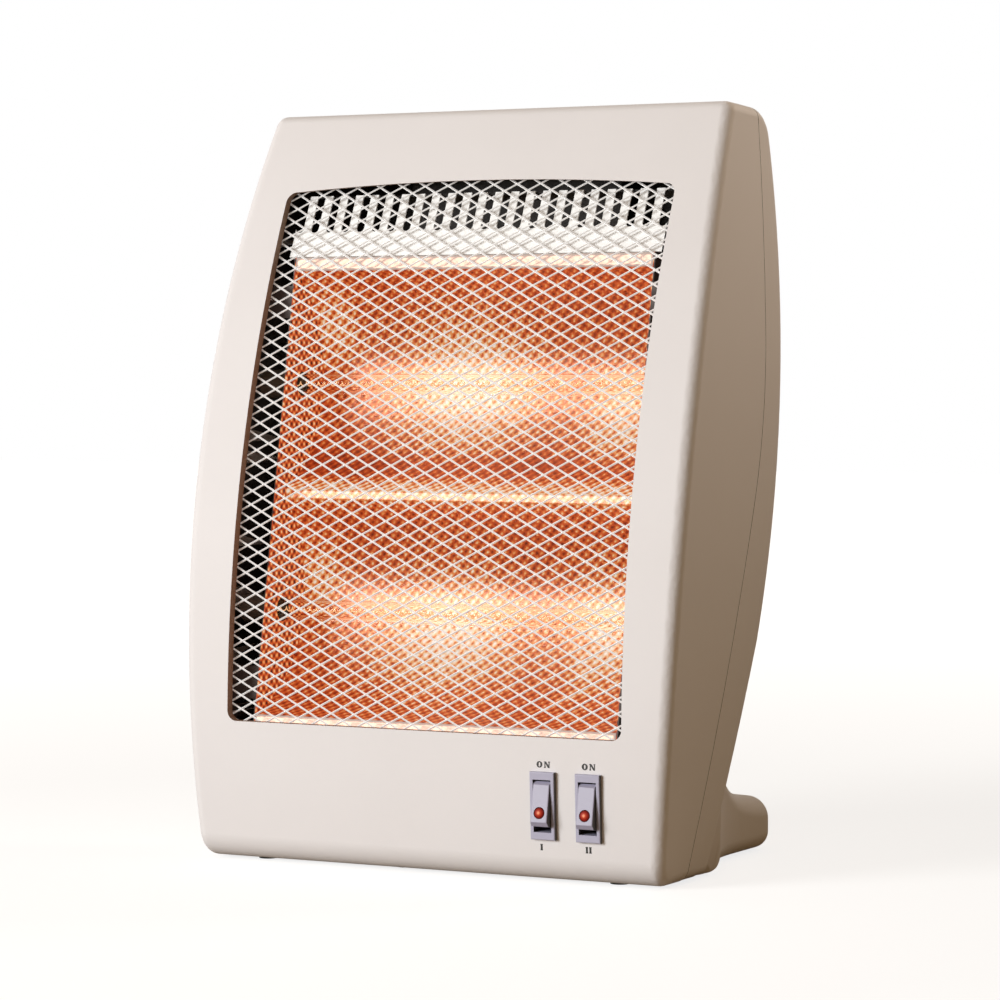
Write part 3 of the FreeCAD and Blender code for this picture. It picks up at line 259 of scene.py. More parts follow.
join(seen_rays.outputs["Is Camera Ray"], seen.inputs[0])
join(matt.outputs[0], seen.inputs[1])
join(both.outputs[0], seen.inputs[2])
join(seen.outputs[0], paper_out.inputs["Surface"])
print("floor fades from", FADE_REACH[0], "to", FADE_REACH[1], "m")

# %% Floor
FLOOR_HALF = 6
FLOOR_DROP = 0.2 * MM

bm = bmesh.new()
bmesh.ops.create_grid(bm, x_segments=1, y_segments=1, size=FLOOR_HALF)
bmesh.ops.translate(bm, verts=bm.verts, vec=(0, 0, cad_low.z - FLOOR_DROP))
floor_mesh = bpy.data.meshes.new("floor")
bm.to_mesh(floor_mesh)
bm.free()
floor_mesh.materials.append(paper)
floor = bpy.data.objects.new("floor", floor_mesh)
bpy.context.scene.collection.objects.link(floor)
print("floor", 2 * FLOOR_HALF, "m wide")

# %% [markdown]
# ## Shared effects
#
# Two effects return in many finishes. Moulded plastic has a fine spark-eroded grain and faint clouds of
# colour. Rolled or drawn metal has streaks along one direction. Each is built once as a node group with its
# own inputs, and each finish places it with its own values. The groups read Object coordinates, which are
# metres here.

# %% Sockets of the surface groups
SURFACE_INPUTS = [
    ("Dark", "NodeSocketColor"), ("Light", "NodeSocketColor"), ("Smooth", "NodeSocketFloat"),
    ("Rough", "NodeSocketFloat"), ("Scale", "NodeSocketFloat"),
]
SURFACE_OUTPUTS = [
    ("Colour", "NodeSocketColor"), ("Roughness", "NodeSocketFloat"), ("Height", "NodeSocketFloat"),
]


def new_group(name, inputs, outputs):
    """A shader node group with its sockets, and its inlet and outlet nodes."""
    group = bpy.data.node_groups.new(name, "ShaderNodeTree")
    for socket, kind in inputs:
        group.interface.new_socket(socket, in_out="INPUT", socket_type=kind)
    for socket, kind in outputs:
        group.interface.new_socket(socket, in_out="OUTPUT", socket_type=kind)
    return group, group.nodes.new("NodeGroupInput"), group.nodes.new("NodeGroupOutput")


print("surface groups have", len(SURFACE_INPUTS), "inputs and", len(SURFACE_OUTPUTS), "outputs")

# %% Moulded grain
CLOUD_SCALE = 16
CLOUD_DETAIL = 3
PIT_DETAIL = 2


def noise(group, vector, scale, detail):
    """A noise texture on a vector. The scale is a number or a socket."""
    texture = group.nodes.new("ShaderNodeTexNoise")
    texture.inputs["Detail"].default_value = detail
    group.links.new(vector, texture.inputs["Vector"])
    if isinstance(scale, (int, float)):
        texture.inputs["Scale"].default_value = scale
    else:
        group.links.new(scale, texture.inputs["Scale"])
    return texture.outputs[0]


def between(group, factor, low, high):
    """A value that goes from one socket to another as the factor goes from 0 to 1."""
    mix = group.nodes.new("ShaderNodeMapRange")
    group.links.new(factor, mix.inputs["Value"])
    group.links.new(low, mix.inputs["To Min"])
    group.links.new(high, mix.inputs["To Max"])
    return mix.outputs["Result"]


def colour_between(group, factor, low, high):
    mix = group.nodes.new("ShaderNodeMix")
    mix.data_type = "RGBA"
    group.links.new(factor, mix.inputs["Factor"])
    colours = [socket for socket in mix.inputs if socket.type == "RGBA"]
    group.links.new(low, colours[0])
    group.links.new(high, colours[1])
    return next(socket for socket in mix.outputs if socket.type == "RGBA")


def fill_group(group, inlet, outlet, tone, wear):
    """Let one pattern set the colour of a surface, and another its roughness and height."""
    colour = colour_between(group, tone, inlet.outputs["Dark"], inlet.outputs["Light"])
    shine = between(group, wear, inlet.outputs["Smooth"], inlet.outputs["Rough"])
    group.links.new(colour, outlet.inputs["Colour"])
    group.links.new(shine, outlet.inputs["Roughness"])
    group.links.new(wear, outlet.inputs["Height"])
    print("group", group.name, len(group.nodes), "nodes")


grain, inlet, outlet = new_group("moulded_grain", SURFACE_INPUTS, SURFACE_OUTPUTS)
place = grain.nodes.new("ShaderNodeTexCoord").outputs["Object"]
clouds = noise(grain, place, CLOUD_SCALE, CLOUD_DETAIL)
pits = noise(grain, place, inlet.outputs["Scale"], PIT_DETAIL)
fill_group(grain, inlet, outlet, clouds, pits)

# %% Rolled streaks
STREAK_STRETCH = (1, 30, 30)
STREAK_DETAIL = 4

streaks, inlet, outlet = new_group("rolled_streaks", SURFACE_INPUTS, SURFACE_OUTPUTS)
place = streaks.nodes.new("ShaderNodeTexCoord").outputs["Object"]
stretch = streaks.nodes.new("ShaderNodeMapping")
stretch.inputs["Scale"].default_value = STREAK_STRETCH
streaks.links.new(place, stretch.inputs["Vector"])
lines = noise(streaks, stretch.outputs["Vector"], inlet.outputs["Scale"], STREAK_DETAIL)
fill_group(streaks, inlet, outlet, lines, lines)

# %% [markdown]
# ## Finishes
#
# A finish is one material: a Principled shader, one of the groups for colour, roughness and bump, and plain
# numbers on the shader's own sockets for what doesn't change over the surface. A function keeps them alike,
# and a list of calls names what the heater is made of.

# %% Finishes of the case
def new_finish(name, group, dark, light, smooth, rough, scale, depth, **plain):
    """A finish from a group. Further values go straight to the shader's sockets."""
    finish = bpy.data.materials.new(name)
    finish.use_nodes = True
    nodes, links = finish.node_tree.nodes, finish.node_tree.links
    shader = nodes["Principled BSDF"]
    surface = nodes.new("ShaderNodeGroup")
    surface.node_tree = group
    values = {"Dark": (*dark, 1), "Light": (*light, 1), "Smooth": smooth, "Rough": rough, "Scale": scale}
    for socket, value in values.items():
        surface.inputs[socket].default_value = value
    bump = nodes.new("ShaderNodeBump")
    bump.inputs["Distance"].default_value = depth
    links.new(surface.outputs["Colour"], shader.inputs["Base Color"])
    links.new(surface.outputs["Roughness"], shader.inputs["Roughness"])
    links.new(surface.outputs["Height"], bump.inputs["Height"])
    links.new(bump.outputs["Normal"], shader.inputs["Normal"])
    for socket, value in plain.items():
        shader.inputs[socket.replace("_", " ")].default_value = value
    return finish


cream_plastic = new_finish(
    "cream_plastic", grain, (0.79, 0.764, 0.778), (0.83, 0.808, 0.828), 0.52, 0.64, 1400, 0.03 * MM,
    Specular_IOR_Level=0.3)
# Painted shade: near-black plastic for the faces that look into the case.
painted_shade_plastic = new_finish(
    "painted_shade_plastic", grain, (0.030, 0.022, 0.018), (0.045, 0.034, 0.028), 0.55, 0.7, 1400, 0.03 * MM)
# Painted shade: brown plastic for the edge of the window.
reveal_painted_shade = new_finish(
    "reveal_painted_shade", grain, (0.24, 0.15, 0.10), (0.30, 0.19, 0.13), 0.5, 0.65, 1400, 0.03 * MM)
print("case", cream_plastic.name, painted_shade_plastic.name, reveal_painted_shade.name)

# %% Finishes of other plastics, ceramic and rubber
lilac_plastic = new_finish(
    "lilac_plastic", grain, (0.42, 0.41, 0.54), (0.48, 0.47, 0.61), 0.34, 0.46, 1800, 0.02 * MM)
pale_lilac = new_finish(
    "pale_lilac", grain, (0.36, 0.345, 0.46), (0.41, 0.395, 0.52), 0.38, 0.5, 1800, 0.02 * MM)
# Painted shade: dark grey for the flanks of the switches.
flank_painted_shade = new_finish(
    "flank_painted_shade", grain, (0.050, 0.046, 0.046), (0.075, 0.070, 0.070), 0.4, 0.55, 1800, 0.02 * MM)
dark_plastic = new_finish(
    "dark_plastic", grain, (0.018, 0.017, 0.016), (0.035, 0.033, 0.031), 0.35, 0.55, 1500, 0.03 * MM)
white_plastic = new_finish(
    "white_plastic", grain, (0.70, 0.69, 0.66), (0.80, 0.79, 0.76), 0.35, 0.5, 1500, 0.03 * MM)
fired_ceramic = new_finish(
    "fired_ceramic", grain, (0.20, 0.18, 0.16), (0.27, 0.25, 0.22), 0.5, 0.75, 2200, 0.04 * MM)
pad_rubber = new_finish(
    "pad_rubber", grain, (0.012, 0.012, 0.012), (0.03, 0.03, 0.03), 0.6, 0.85, 1200, 0.06 * MM)
print("materials so far", len(bpy.data.materials))

# %% Finishes of metal, glass and ink
# The wire gives off a faint white light of its own: painted light that brightens the strands.
plated_wire_painted_light = new_finish(
    "plated_wire_painted_light", grain, (0.90, 0.90, 0.91), (0.97, 0.97, 0.98), 0.22, 0.40, 500, 0.02 * MM, Metallic=0.2,
    Emission_Color=(0.95, 0.97, 1.0, 1), Emission_Strength=0.11)
zinc_steel = new_finish(
    "zinc_steel", grain, (0.46, 0.46, 0.45), (0.62, 0.62, 0.61), 0.28, 0.45, 700, 0.02 * MM, Metallic=1.0)
brass_strip = new_finish(
    "brass_strip", streaks, (0.60, 0.44, 0.18), (0.74, 0.57, 0.27), 0.25, 0.4, 80, 0.02 * MM, Metallic=1.0)
quartz_glass = new_finish(
    "quartz_glass", grain, (0.99, 0.96, 0.92), (1.0, 0.98, 0.95), 0.0, 0.03, 90, 0.002 * MM,
    Transmission_Weight=1.0, IOR=1.12)
legend_ink = new_finish(
    "legend_ink", grain, (0.010, 0.009, 0.009), (0.02, 0.018, 0.018), 0.4, 0.6, 1800, 0.01 * MM)
print("materials with metal, glass and ink", len(bpy.data.materials))

# %% [markdown]
# ## Case
#
# The case is a pair of mouldings that meet along a line on the sides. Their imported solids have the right
# shape, but as loose triangles they would show facets on the bow and the rounded edges. The case could be
# modelled again. It is enough to copy the triangles, merge their corners, mark the true edges as sharp and
# let the weighted normals keep the flat parts flat. The same is done for every rounded moulding.

# %% Smooth copies of rounded solids
MERGE_DISTANCE = 0.01 * MM
SHARP_ANGLE = math.radians(28)


def smooth_copy(node, finish, mend=None):
    """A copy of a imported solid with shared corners, shaded smooth between its true edges."""
    bm = bmesh.new()
    bm.from_mesh(frame["nodes"][node].data)
    bmesh.ops.remove_doubles(bm, verts=bm.verts, dist=MERGE_DISTANCE)
    if mend:
        mend(bm)
    smooth_all(bm)
    for edge in bm.edges:
        edge.smooth = len(edge.link_faces) == 2 and edge.calc_face_angle() < SHARP_ANGLE
    body = frame["nodes"][node]["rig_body"]
    piece = add_piece(f"{node}_skin", bm, finish, body, [node])
    even = piece.modifiers.new("even_shading", "WEIGHTED_NORMAL")
    even.keep_sharp = True
    return piece


print("edges are sharp from", round(math.degrees(SHARP_ANGLE)), "degrees")

# %% [markdown]
# ### Lower edge
#
# The feet end in a sharp corner where they meet the rounded lower edge of the case. A bevel would have to
# find these few edges among thousands, so their points are drawn back to the rounding instead.

# %% Rounding of the lower edge
LOWER_EDGE = 1 * MM
LOWER_HALF = 123.83 * MM
SIDE_SLOPE = 0.097
EDGE_ROUND = 6 * MM
EDGE_PLAY = 0.3 * MM


def round_lower_edge(bm):
    """Draw points of the feet that stick out below back to the rounded lower edge of the sides."""
    for vert in bm.verts:
        rise = vert.co.z - LOWER_EDGE
        if rise < EDGE_ROUND:
            side = LOWER_HALF + SIDE_SLOPE * rise
            edge = side - EDGE_ROUND + math.sqrt(EDGE_ROUND**2 - (EDGE_ROUND - max(rise, 0)) ** 2)
            if abs(vert.co.x) > edge + EDGE_PLAY:
                vert.co.x = math.copysign(edge - EDGE_PLAY, vert.co.x)


print("lower edge rounded by", EDGE_ROUND)

# %% [markdown]
# ### Inside of the case
#
# Through the mesh the inside of the case looks black, as hardly any light gets out of it again. So the
# faces that look into the case get painted shade, a near-black finish on the cream plastic. Picking them
# by hand would not survive a new pack.
# Instead, a face is one of these if the rays from it, spread about its normal, end on the case or the
# reflector or leave through the window. One ray may slip out through a vent, and the hand grip is left out.
# The edge of the window, which the photo shows as a brown outline, gets a brown finish of its own, painted
# shade on the cream plastic.

# %% Rays in the case
REVEAL_DEPTH = 5 * MM
GRIP_LOW = Vector((-70, 14, 298)) * MM
GRIP_HIGH = Vector((70, 60, 336)) * MM
GRIP_START = 1 * MM
RAY_START = 0.05 * MM
RAY_SPREAD = 1.6
RAYS_AROUND = 8
BACKWARDS = Vector((0, 1, 0))

window_low, window_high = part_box("mesh_grille")
inside = bmesh.new()
for node in ("front_shell", "rear_cover", "reflector"):
    inside.from_mesh(frame["nodes"][node].data)
round_lower_edge(inside)
screen = BVHTree.FromBMesh(inside)
print("rays meet", len(inside.faces), "faces")
inside.free()


def leaves_by_window(start, way):
    """Whether a ray crosses the front within the window."""
    if way.y >= 0:
        return False
    cross = start + way * ((FRONT_Y + bow(start.z) - start.y) / way.y)
    return window_low.x < cross.x < window_high.x and window_low.z < cross.z < window_high.z


def lines_grip(face):
    """Whether a face lies in the hand grip, open to the back."""
    start = face.center + face.normal * GRIP_START
    in_grip = all(low < place < high for low, place, high in zip(GRIP_LOW, start, GRIP_HIGH))
    return in_grip and screen.ray_cast(start, BACKWARDS)[0] is None


def looks_inside(face):
    """Whether the rays from a face stay in the case."""
    start = face.center + face.normal * RAY_START
    if lines_grip(face) or start.y < FRONT_Y + bow(start.z) + REVEAL_DEPTH:
        return False
    lean = face.normal.orthogonal().normalized() * RAY_SPREAD
    ways = [face.normal]
    for turn in range(RAYS_AROUND):
        ways.append(face.normal + Matrix.Rotation(2 * math.pi * turn / RAYS_AROUND, 3, face.normal) @ lean)
    stays = [screen.ray_cast(start, way)[0] is not None or leaves_by_window(start, way) for way in ways]
    return sum(stays) >= RAYS_AROUND

# %% Case, bush and tubes
SIDE_LEAN = 0.6
EDGE_DEPTH = 0.3 * MM
INSIDE, EDGE = 1, 2


def edges_window(face):
    """Whether a face is part of the edge of the window."""
    depth = face.center.y - FRONT_Y - bow(face.center.z)
    across = abs(face.center.x) < window_high.x
    up = window_low.z < face.center.z < window_high.z
    off_middle = Vector((face.center.x, 0, face.center.z - (window_low.z + window_high.z) / 2))
    turned_in = off_middle.dot(face.normal) < 0 and abs(face.normal.y) < SIDE_LEAN
    return across and up and turned_in and EDGE_DEPTH < depth < REVEAL_DEPTH


# Faces that look into the case get near-black painted shade, and the edge of the window brown painted shade.
for node, mend in (("front_shell", None), ("rear_cover", round_lower_edge)):
    shell = smooth_copy(node, cream_plastic, mend)
    shell.data.materials.append(painted_shade_plastic)
    shell.data.materials.append(reveal_painted_shade)
    for face in shell.data.polygons:
        if edges_window(face):
            face.material_index = EDGE
        elif looks_inside(face):
            face.material_index = INSIDE
    print(node, sum(face.material_index > 0 for face in shell.data.polygons), "faces look inwards")
smooth_copy("cord_bush", dark_plastic)
for level in ("lower", "upper"):
    smooth_copy(f"{level}_quartz_tube", quartz_glass)
    smooth_copy(f"{level}_tube_caps", fired_ceramic)

# %% [markdown]
# ## Wire mesh
#
# The guard is a plated mesh of diamonds, twice as wide as tall, bent to the bow of the front. Hundreds of
# single wires would be heavy. A grid turned by 45 degrees and squeezed is already a field of diamonds, the
# wireframe operator turns its edges into strands with clean crossings, and a last step bends all of it.

# %% Wire mesh
MESH_CELL = (12.6 * MM, 6.55 * MM)
MESH_CELLS = 62
MESH_STRAND = 0.94 * MM
EDGE_TRIM = 0.4 * MM

mesh_low, mesh_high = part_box("mesh_grille")
mesh_middle = (mesh_low + mesh_high) / 2
mesh_setback = mesh_low.y - FRONT_Y - bow(mesh_low.z) + MESH_STRAND / 2
bm = bmesh.new()
bmesh.ops.create_grid(bm, x_segments=MESH_CELLS, y_segments=MESH_CELLS, size=1)
bmesh.ops.rotate(bm, verts=bm.verts, cent=(0, 0, 0), matrix=Matrix.Rotation(math.radians(45), 3, "Z"))
diagonal = 2 * math.sqrt(2) / math.sqrt(len(bm.faces))
bmesh.ops.scale(bm, verts=bm.verts, vec=(MESH_CELL[0] / diagonal, MESH_CELL[1] / diagonal, 1))
bmesh.ops.rotate(bm, verts=bm.verts, cent=(0, 0, 0), matrix=Matrix.Rotation(math.radians(90), 3, "X"))
bmesh.ops.translate(bm, verts=bm.verts, vec=(0, 0, mesh_middle.z))
half = (mesh_high - mesh_low) / 2
sides = [
    (Vector((half.x - EDGE_TRIM, 0, 0)), (1, 0, 0)),
    (Vector((EDGE_TRIM - half.x, 0, 0)), (-1, 0, 0)),
    (Vector((0, 0, mesh_high.z - EDGE_TRIM)), (0, 0, 1)),
    (Vector((0, 0, mesh_low.z + EDGE_TRIM)), (0, 0, -1)),
]
for point, outwards in sides:
    bmesh.ops.bisect_plane(
        bm, geom=bm.verts[:] + bm.edges[:] + bm.faces[:], plane_co=point, plane_no=outwards, clear_outer=True)
bmesh.ops.wireframe(
    bm, faces=bm.faces, thickness=MESH_STRAND, offset=0, use_replace=True, use_boundary=True,
    use_even_offset=True)
for vert in bm.verts:
    vert.co.y += FRONT_Y + mesh_setback + bow(vert.co.z)
bmesh.ops.recalc_face_normals(bm, faces=bm.faces)
add_piece("wire_mesh", bm, plated_wire_painted_light, stands_for=["mesh_grille"])

# %% [markdown]
# ## Reflector
#
# The reflector is one folded sheet of bright aluminium: a lip, a round trough behind each tube, a ridge
# between them and a second lip. It is embossed all over with small dimples, which scatter the glow into
# points. A bump map would lose them in the mesh, so they are real: a fine grid is folded along the profile,
# and each point moves in or out by a product of two waves. First come the numbers of the fold: two arcs
# between straight parts.

# %% Reflector fold
RIM_BOTTOM = 64 * MM
RIM_TOP = 291.6 * MM
RIM_INSETS = (11 * MM, 7.5 * MM)
LIP_RISE = 6.5 * MM
RIDGE_RISE = 5 * MM
RIDGE_DEPTH = 10 * MM
TROUGH_DEPTH = 31 * MM
SHEET_WIDTH = 194 * MM
RIM_SETBACK = bow(RIM_BOTTOM) + RIM_INSETS[0]
rim_lean = bow(RIM_TOP) + RIM_INSETS[1] - RIM_SETBACK
RIM_TILT = math.atan2(rim_lean, RIM_TOP - RIM_BOTTOM)
SHEET_RISE = math.hypot(rim_lean, RIM_TOP - RIM_BOTTOM)
trough_rise = (SHEET_RISE - RIDGE_RISE) / 2 - LIP_RISE
trough_chord = math.hypot(trough_rise, RIDGE_DEPTH)
TROUGH_RADIUS = (trough_chord**2 / 4 + TROUGH_DEPTH**2) / (2 * TROUGH_DEPTH)
trough_turn = 2 * math.asin(trough_chord / 2 / TROUGH_RADIUS)
trough_arc = TROUGH_RADIUS * trough_turn
half_arc = LIP_RISE + trough_arc + RIDGE_RISE / 2
chord_lean = math.atan2(RIDGE_DEPTH, trough_rise)


def fold(along):
    """Depth and rise of the lower half of the profile, and its slope, at a length along it."""
    if along < LIP_RISE:
        return 0, along, 0
    if along > LIP_RISE + trough_arc:
        return RIDGE_DEPTH, LIP_RISE + trough_rise + along - LIP_RISE - trough_arc, 0
    turn = (along - LIP_RISE) / TROUGH_RADIUS
    slope = trough_turn / 2 - turn + chord_lean
    chord = 2 * TROUGH_RADIUS * math.sin(turn / 2)
    lean = trough_turn / 2 - turn / 2 + chord_lean
    return chord * math.sin(lean), LIP_RISE + chord * math.cos(lean), slope


def on_rim(depth, rise):
    """A point of the tilted reflector in the heater's frame, as Y and Z."""
    y = FRONT_Y + RIM_SETBACK + depth * math.cos(RIM_TILT) + rise * math.sin(RIM_TILT)
    return y, RIM_BOTTOM + rise * math.cos(RIM_TILT) - depth * math.sin(RIM_TILT)


print("profile", round(2 * half_arc / MM), "mm long")

# %% [markdown]
# ### Painted glow of the sheet
#
# The sheet's glow is painted light: it stands for the reflection of the glowing tubes, most behind their hot
# parts, along the ridge and near the end plates, with a painted shadow above the ridge. A painted picture
# could hold this. A sum of soft bell shapes needs only their places, and it can be stored on the mesh.

# %% Painted glow of the sheet
BASE_PAINTED_GLOW = 0.32
RIDGE_PAINTED_GLOW = 0.30
RIDGE_PAINTED_GLOW_RISE = 3 * MM
RIDGE_PAINTED_GLOW_SPREAD = 6.5 * MM
RIDGE_SHADOW = 0.12
RIDGE_SHADOW_RISE = 16 * MM
RIDGE_SHADOW_SPREAD = 9 * MM
PAINTED_REFLECTION_SPOTS = [
    # middle along x and rise and spreads along both, in millimetres, and strength
    (-14, 171, 44, 34, 0.42),
    (-14, 52, 46, 31, 0.40),
    (70, 158, 22, 28, 0.34),
    (70, 54, 22, 32, 0.36),
    (-88, 202, 16, 18, 0.24),
    (-88, 77, 16, 20, 0.24),
]


def bell(distance, spread):
    return math.exp(-((distance / spread) ** 2))


def painted_glow(x, rise):
    """How strongly a place of the sheet glows with painted light, from 0 to about 1."""
    above_ridge = rise - SHEET_RISE / 2
    painted_glow_level = BASE_PAINTED_GLOW + RIDGE_PAINTED_GLOW * bell(above_ridge - RIDGE_PAINTED_GLOW_RISE, RIDGE_PAINTED_GLOW_SPREAD)
    painted_glow_level -= RIDGE_SHADOW * bell(above_ridge - RIDGE_SHADOW_RISE, RIDGE_SHADOW_SPREAD)
    for spot_x, spot_rise, spread_x, spread_rise, strength in PAINTED_REFLECTION_SPOTS:
        painted_glow_level += strength * bell(x / MM - spot_x, spread_x) * bell(rise / MM - spot_rise, spread_rise)
    return painted_glow_level


print("heat in the middle", round(painted_glow(0, SHEET_RISE / 2), 2))

# %% [markdown]
# ### Embossed sheet
#
# The grid gets four points per dimple, enough to catch its crest, its pit and both flanks. Three attributes
# go with it: the painted glow, the height in a dimple and whether a point lies on the plain lip.

# %% Embossed sheet
DIMPLE_PITCH = (4.8 * MM, 5.0 * MM)
DIMPLE_POINTS = 4
DIMPLE_DEPTH = 0.4 * MM
STEP = (DIMPLE_PITCH[0] / DIMPLE_POINTS, DIMPLE_PITCH[1] / DIMPLE_POINTS)

columns = round(SHEET_WIDTH / STEP[0])
rows = round(2 * half_arc / STEP[1])
bm = bmesh.new()
bmesh.ops.create_grid(bm, x_segments=columns, y_segments=rows, size=1)
glow = bm.verts.layers.float.new("glow")
crest = bm.verts.layers.float.new("crest")
plain = bm.verts.layers.float.new("plain")
for vert in bm.verts:
    x = vert.co.x * SHEET_WIDTH / 2
    along = (vert.co.y + 1) * half_arc
    upper = along > half_arc
    depth, rise, slope = fold(2 * half_arc - along if upper else along)
    rise = SHEET_RISE - rise if upper else rise
    slope = -slope if upper else slope
    waves = math.cos(2 * math.pi * x / DIMPLE_PITCH[0]) * math.cos(2 * math.pi * along / DIMPLE_PITCH[1])
    depth -= DIMPLE_DEPTH / 2 * waves * math.cos(slope)
    y, z = on_rim(depth, rise + DIMPLE_DEPTH / 2 * waves * math.sin(slope))
    vert.co = (x, y, z)
    vert[glow] = painted_glow(x, rise)
    vert[crest] = waves / 2 + 0.5
    vert[plain] = min(rise, SHEET_RISE - rise) < LIP_RISE
smooth_all(bm)
bmesh.ops.recalc_face_normals(bm, faces=bm.faces)
if sum(face.normal.y for face in bm.faces) > 0:
    bmesh.ops.reverse_faces(bm, faces=bm.faces)
print("sheet", columns, "by", rows, "steps")

# %% [markdown]
# ### Painted glow finish
#
# The finish turns the attributes of the sheet into painted light, the reflection of the tubes' glow given off
# by the sheet itself: dark red in the pits, orange on the crests, nearly white in painted reflections of the
# coils, with fine specks of noise over it. Small helpers for math nodes, attributes and ramps keep the node
# trees readable. The lips are plain and give off a pale painted glow, and the back of the sheet is plain.

# %% Helpers for glowing finishes
PAINTED_GLOW_COLOURS = [
    (0.0, (0.09, 0.009, 0.003)),
    (0.22, (0.34, 0.032, 0.007)),
    (0.42, (0.64, 0.100, 0.020)),
    (0.60, (0.84, 0.35, 0.11)),
    (0.76, (0.92, 0.72, 0.50)),
    (1.0, (0.97, 0.94, 0.91)),
]
PIT_SHARE = 0.05
CREST_SHARE = 1.9
SPOT_START = 0.44
SPOT_SHARE = 1.2
SPECKLE_SHARE = 0.50
SPECKLE_SCALE = 620
SPECKLE_DETAIL = 2


def add_math(tree, operation, first, second, third=0):
    """A math node. Each input is a number or a socket."""
    node = tree.nodes.new("ShaderNodeMath")
    node.operation = operation
    for socket, value in zip(node.inputs, (first, second, third)):
        if isinstance(value, (int, float)):
            socket.default_value = value
        else:
            tree.links.new(value, socket)
    return node.outputs[0]


def add_attribute(tree, name):
    node = tree.nodes.new("ShaderNodeAttribute")
    node.attribute_name = name
    return node.outputs["Fac"]


def add_ramp(tree, factor, colours):
    """A colour ramp through a list of positions and colours."""
    ramp = tree.nodes.new("ShaderNodeValToRGB")
    stops = ramp.color_ramp.elements
    while len(stops) < len(colours):
        stops.new(0.5)
    for stop, (position, colour) in zip(stops, colours):
        stop.position = position
        stop.color = (*colour, 1)
    tree.links.new(factor, ramp.inputs["Fac"])
    return ramp.outputs["Color"]


def speckled(tree, level, peaks):
    """The painted glow of a place: pits and crests of the embossing, painted reflection spots and fine
    specks.
    """
    place = tree.nodes.new("ShaderNodeTexCoord").outputs["Object"]
    specks = noise(tree, place, SPECKLE_SCALE, SPECKLE_DETAIL)
    relief = add_math(tree, "MULTIPLY_ADD", peaks, CREST_SHARE, PIT_SHARE)
    embossed = add_math(tree, "MULTIPLY", relief, add_math(tree, "MINIMUM", level, SPOT_START))
    excess = add_math(tree, "MAXIMUM", add_math(tree, "SUBTRACT", level, SPOT_START), 0)
    warmed = add_math(tree, "MULTIPLY_ADD", excess, SPOT_SHARE, embossed)
    spotted = add_math(tree, "MULTIPLY_ADD", specks, SPECKLE_SHARE, warmed)
    return add_math(tree, "SUBTRACT", spotted, SPECKLE_SHARE / 2)


def glow_with(finish, colour):
    """Let a colour socket set what a finish gives off."""
    finish.node_tree.links.new(colour, finish.node_tree.nodes["Principled BSDF"].inputs["Emission Color"])
    print(finish.name, len(finish.node_tree.nodes), "nodes")


print("heat has", len(PAINTED_GLOW_COLOURS), "colours")

# %% Painted glow finish of the reflector
LIP_PAINTED_GLOW = (0.62, 0.52, 0.46, 1)
SHEET_THICKNESS = 0.6 * MM

# The sheet's own base is dark metal. Its colour is painted light, given off as the reflection of the tubes.
painted_glow_sheet = new_finish(
    "painted_glow_sheet", streaks, (0.12, 0.06, 0.04), (0.18, 0.09, 0.06), 0.22, 0.36, 80, 0.01 * MM, Metallic=1.0,
    Emission_Strength=0.77)
tree = painted_glow_sheet.node_tree
painted_glow_level = speckled(tree, add_attribute(tree, "glow"), add_attribute(tree, "crest"))
embossed = add_ramp(tree, painted_glow_level, PAINTED_GLOW_COLOURS)
lip_painted_glow = tree.nodes.new("ShaderNodeRGB").outputs[0]
lip_painted_glow.default_value = LIP_PAINTED_GLOW
glow_with(painted_glow_sheet, colour_between(tree, add_attribute(tree, "plain"), embossed, lip_painted_glow))

sheet_back = new_finish(
    "sheet_back", streaks, (0.10, 0.09, 0.085), (0.16, 0.15, 0.14), 0.35, 0.5, 80, 0.01 * MM, Metallic=1.0)
reflector_sheet = add_piece("reflector_sheet", bm, painted_glow_sheet, stands_for=["reflector"])
reflector_sheet.data.materials.append(sheet_back)
thick = reflector_sheet.modifiers.new("sheet_thickness", "SOLIDIFY")
thick.thickness = SHEET_THICKNESS
thick.offset = -1
thick.material_offset = 1
thick.material_offset_rim = 1

# %% [markdown]
# ## End plates
#
# The two end plates of the reflector get painted light and shade. Towards the tubes they give off a painted
# glow with painted dimples, for the reflection of the tubes; seen from outside they are painted near black,
# for the dark of the case. They are flat, so their solids stay as they are, and the finish does both: waves
# along two directions give the dimples, and the distance from the middle of the heater tells the outer face
# from the inner one. A ramp holds the profile of the reflector, so that nothing glows behind the sheet.

# %% Helpers for the end plates
def wave(tree, place, pitch):
    return add_math(tree, "COSINE", add_math(tree, "MULTIPLY", place, 2 * math.pi / pitch), 0)


def reach_along(tree, place, start, end):
    """How far a place lies along the way from a start to an end 1 m off, both given as Y and Z."""
    from_y = add_math(tree, "SUBTRACT", place.outputs["Y"], start[0])
    from_z = add_math(tree, "SUBTRACT", place.outputs["Z"], start[1])
    upwards = add_math(tree, "MULTIPLY", from_z, end[1] - start[1])
    return add_math(tree, "MULTIPLY_ADD", from_y, end[0] - start[0], upwards)


def paint(node, finish):
    """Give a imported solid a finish."""
    solid = frame["nodes"][node].data
    solid.materials.clear()
    solid.materials.append(finish)


end_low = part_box("reflector_end_right")[0]
print("end plates", round(end_low.x, 4), "from the middle")

# %% End plates
END_PAINTED_GLOW = 0.34
END_SKIN = 0.4 * MM
END_PAINTED_SHADE = (0.010, 0.006, 0.005)
DEPTH_UNIT = 60 * MM
PROFILE_STEPS = 24

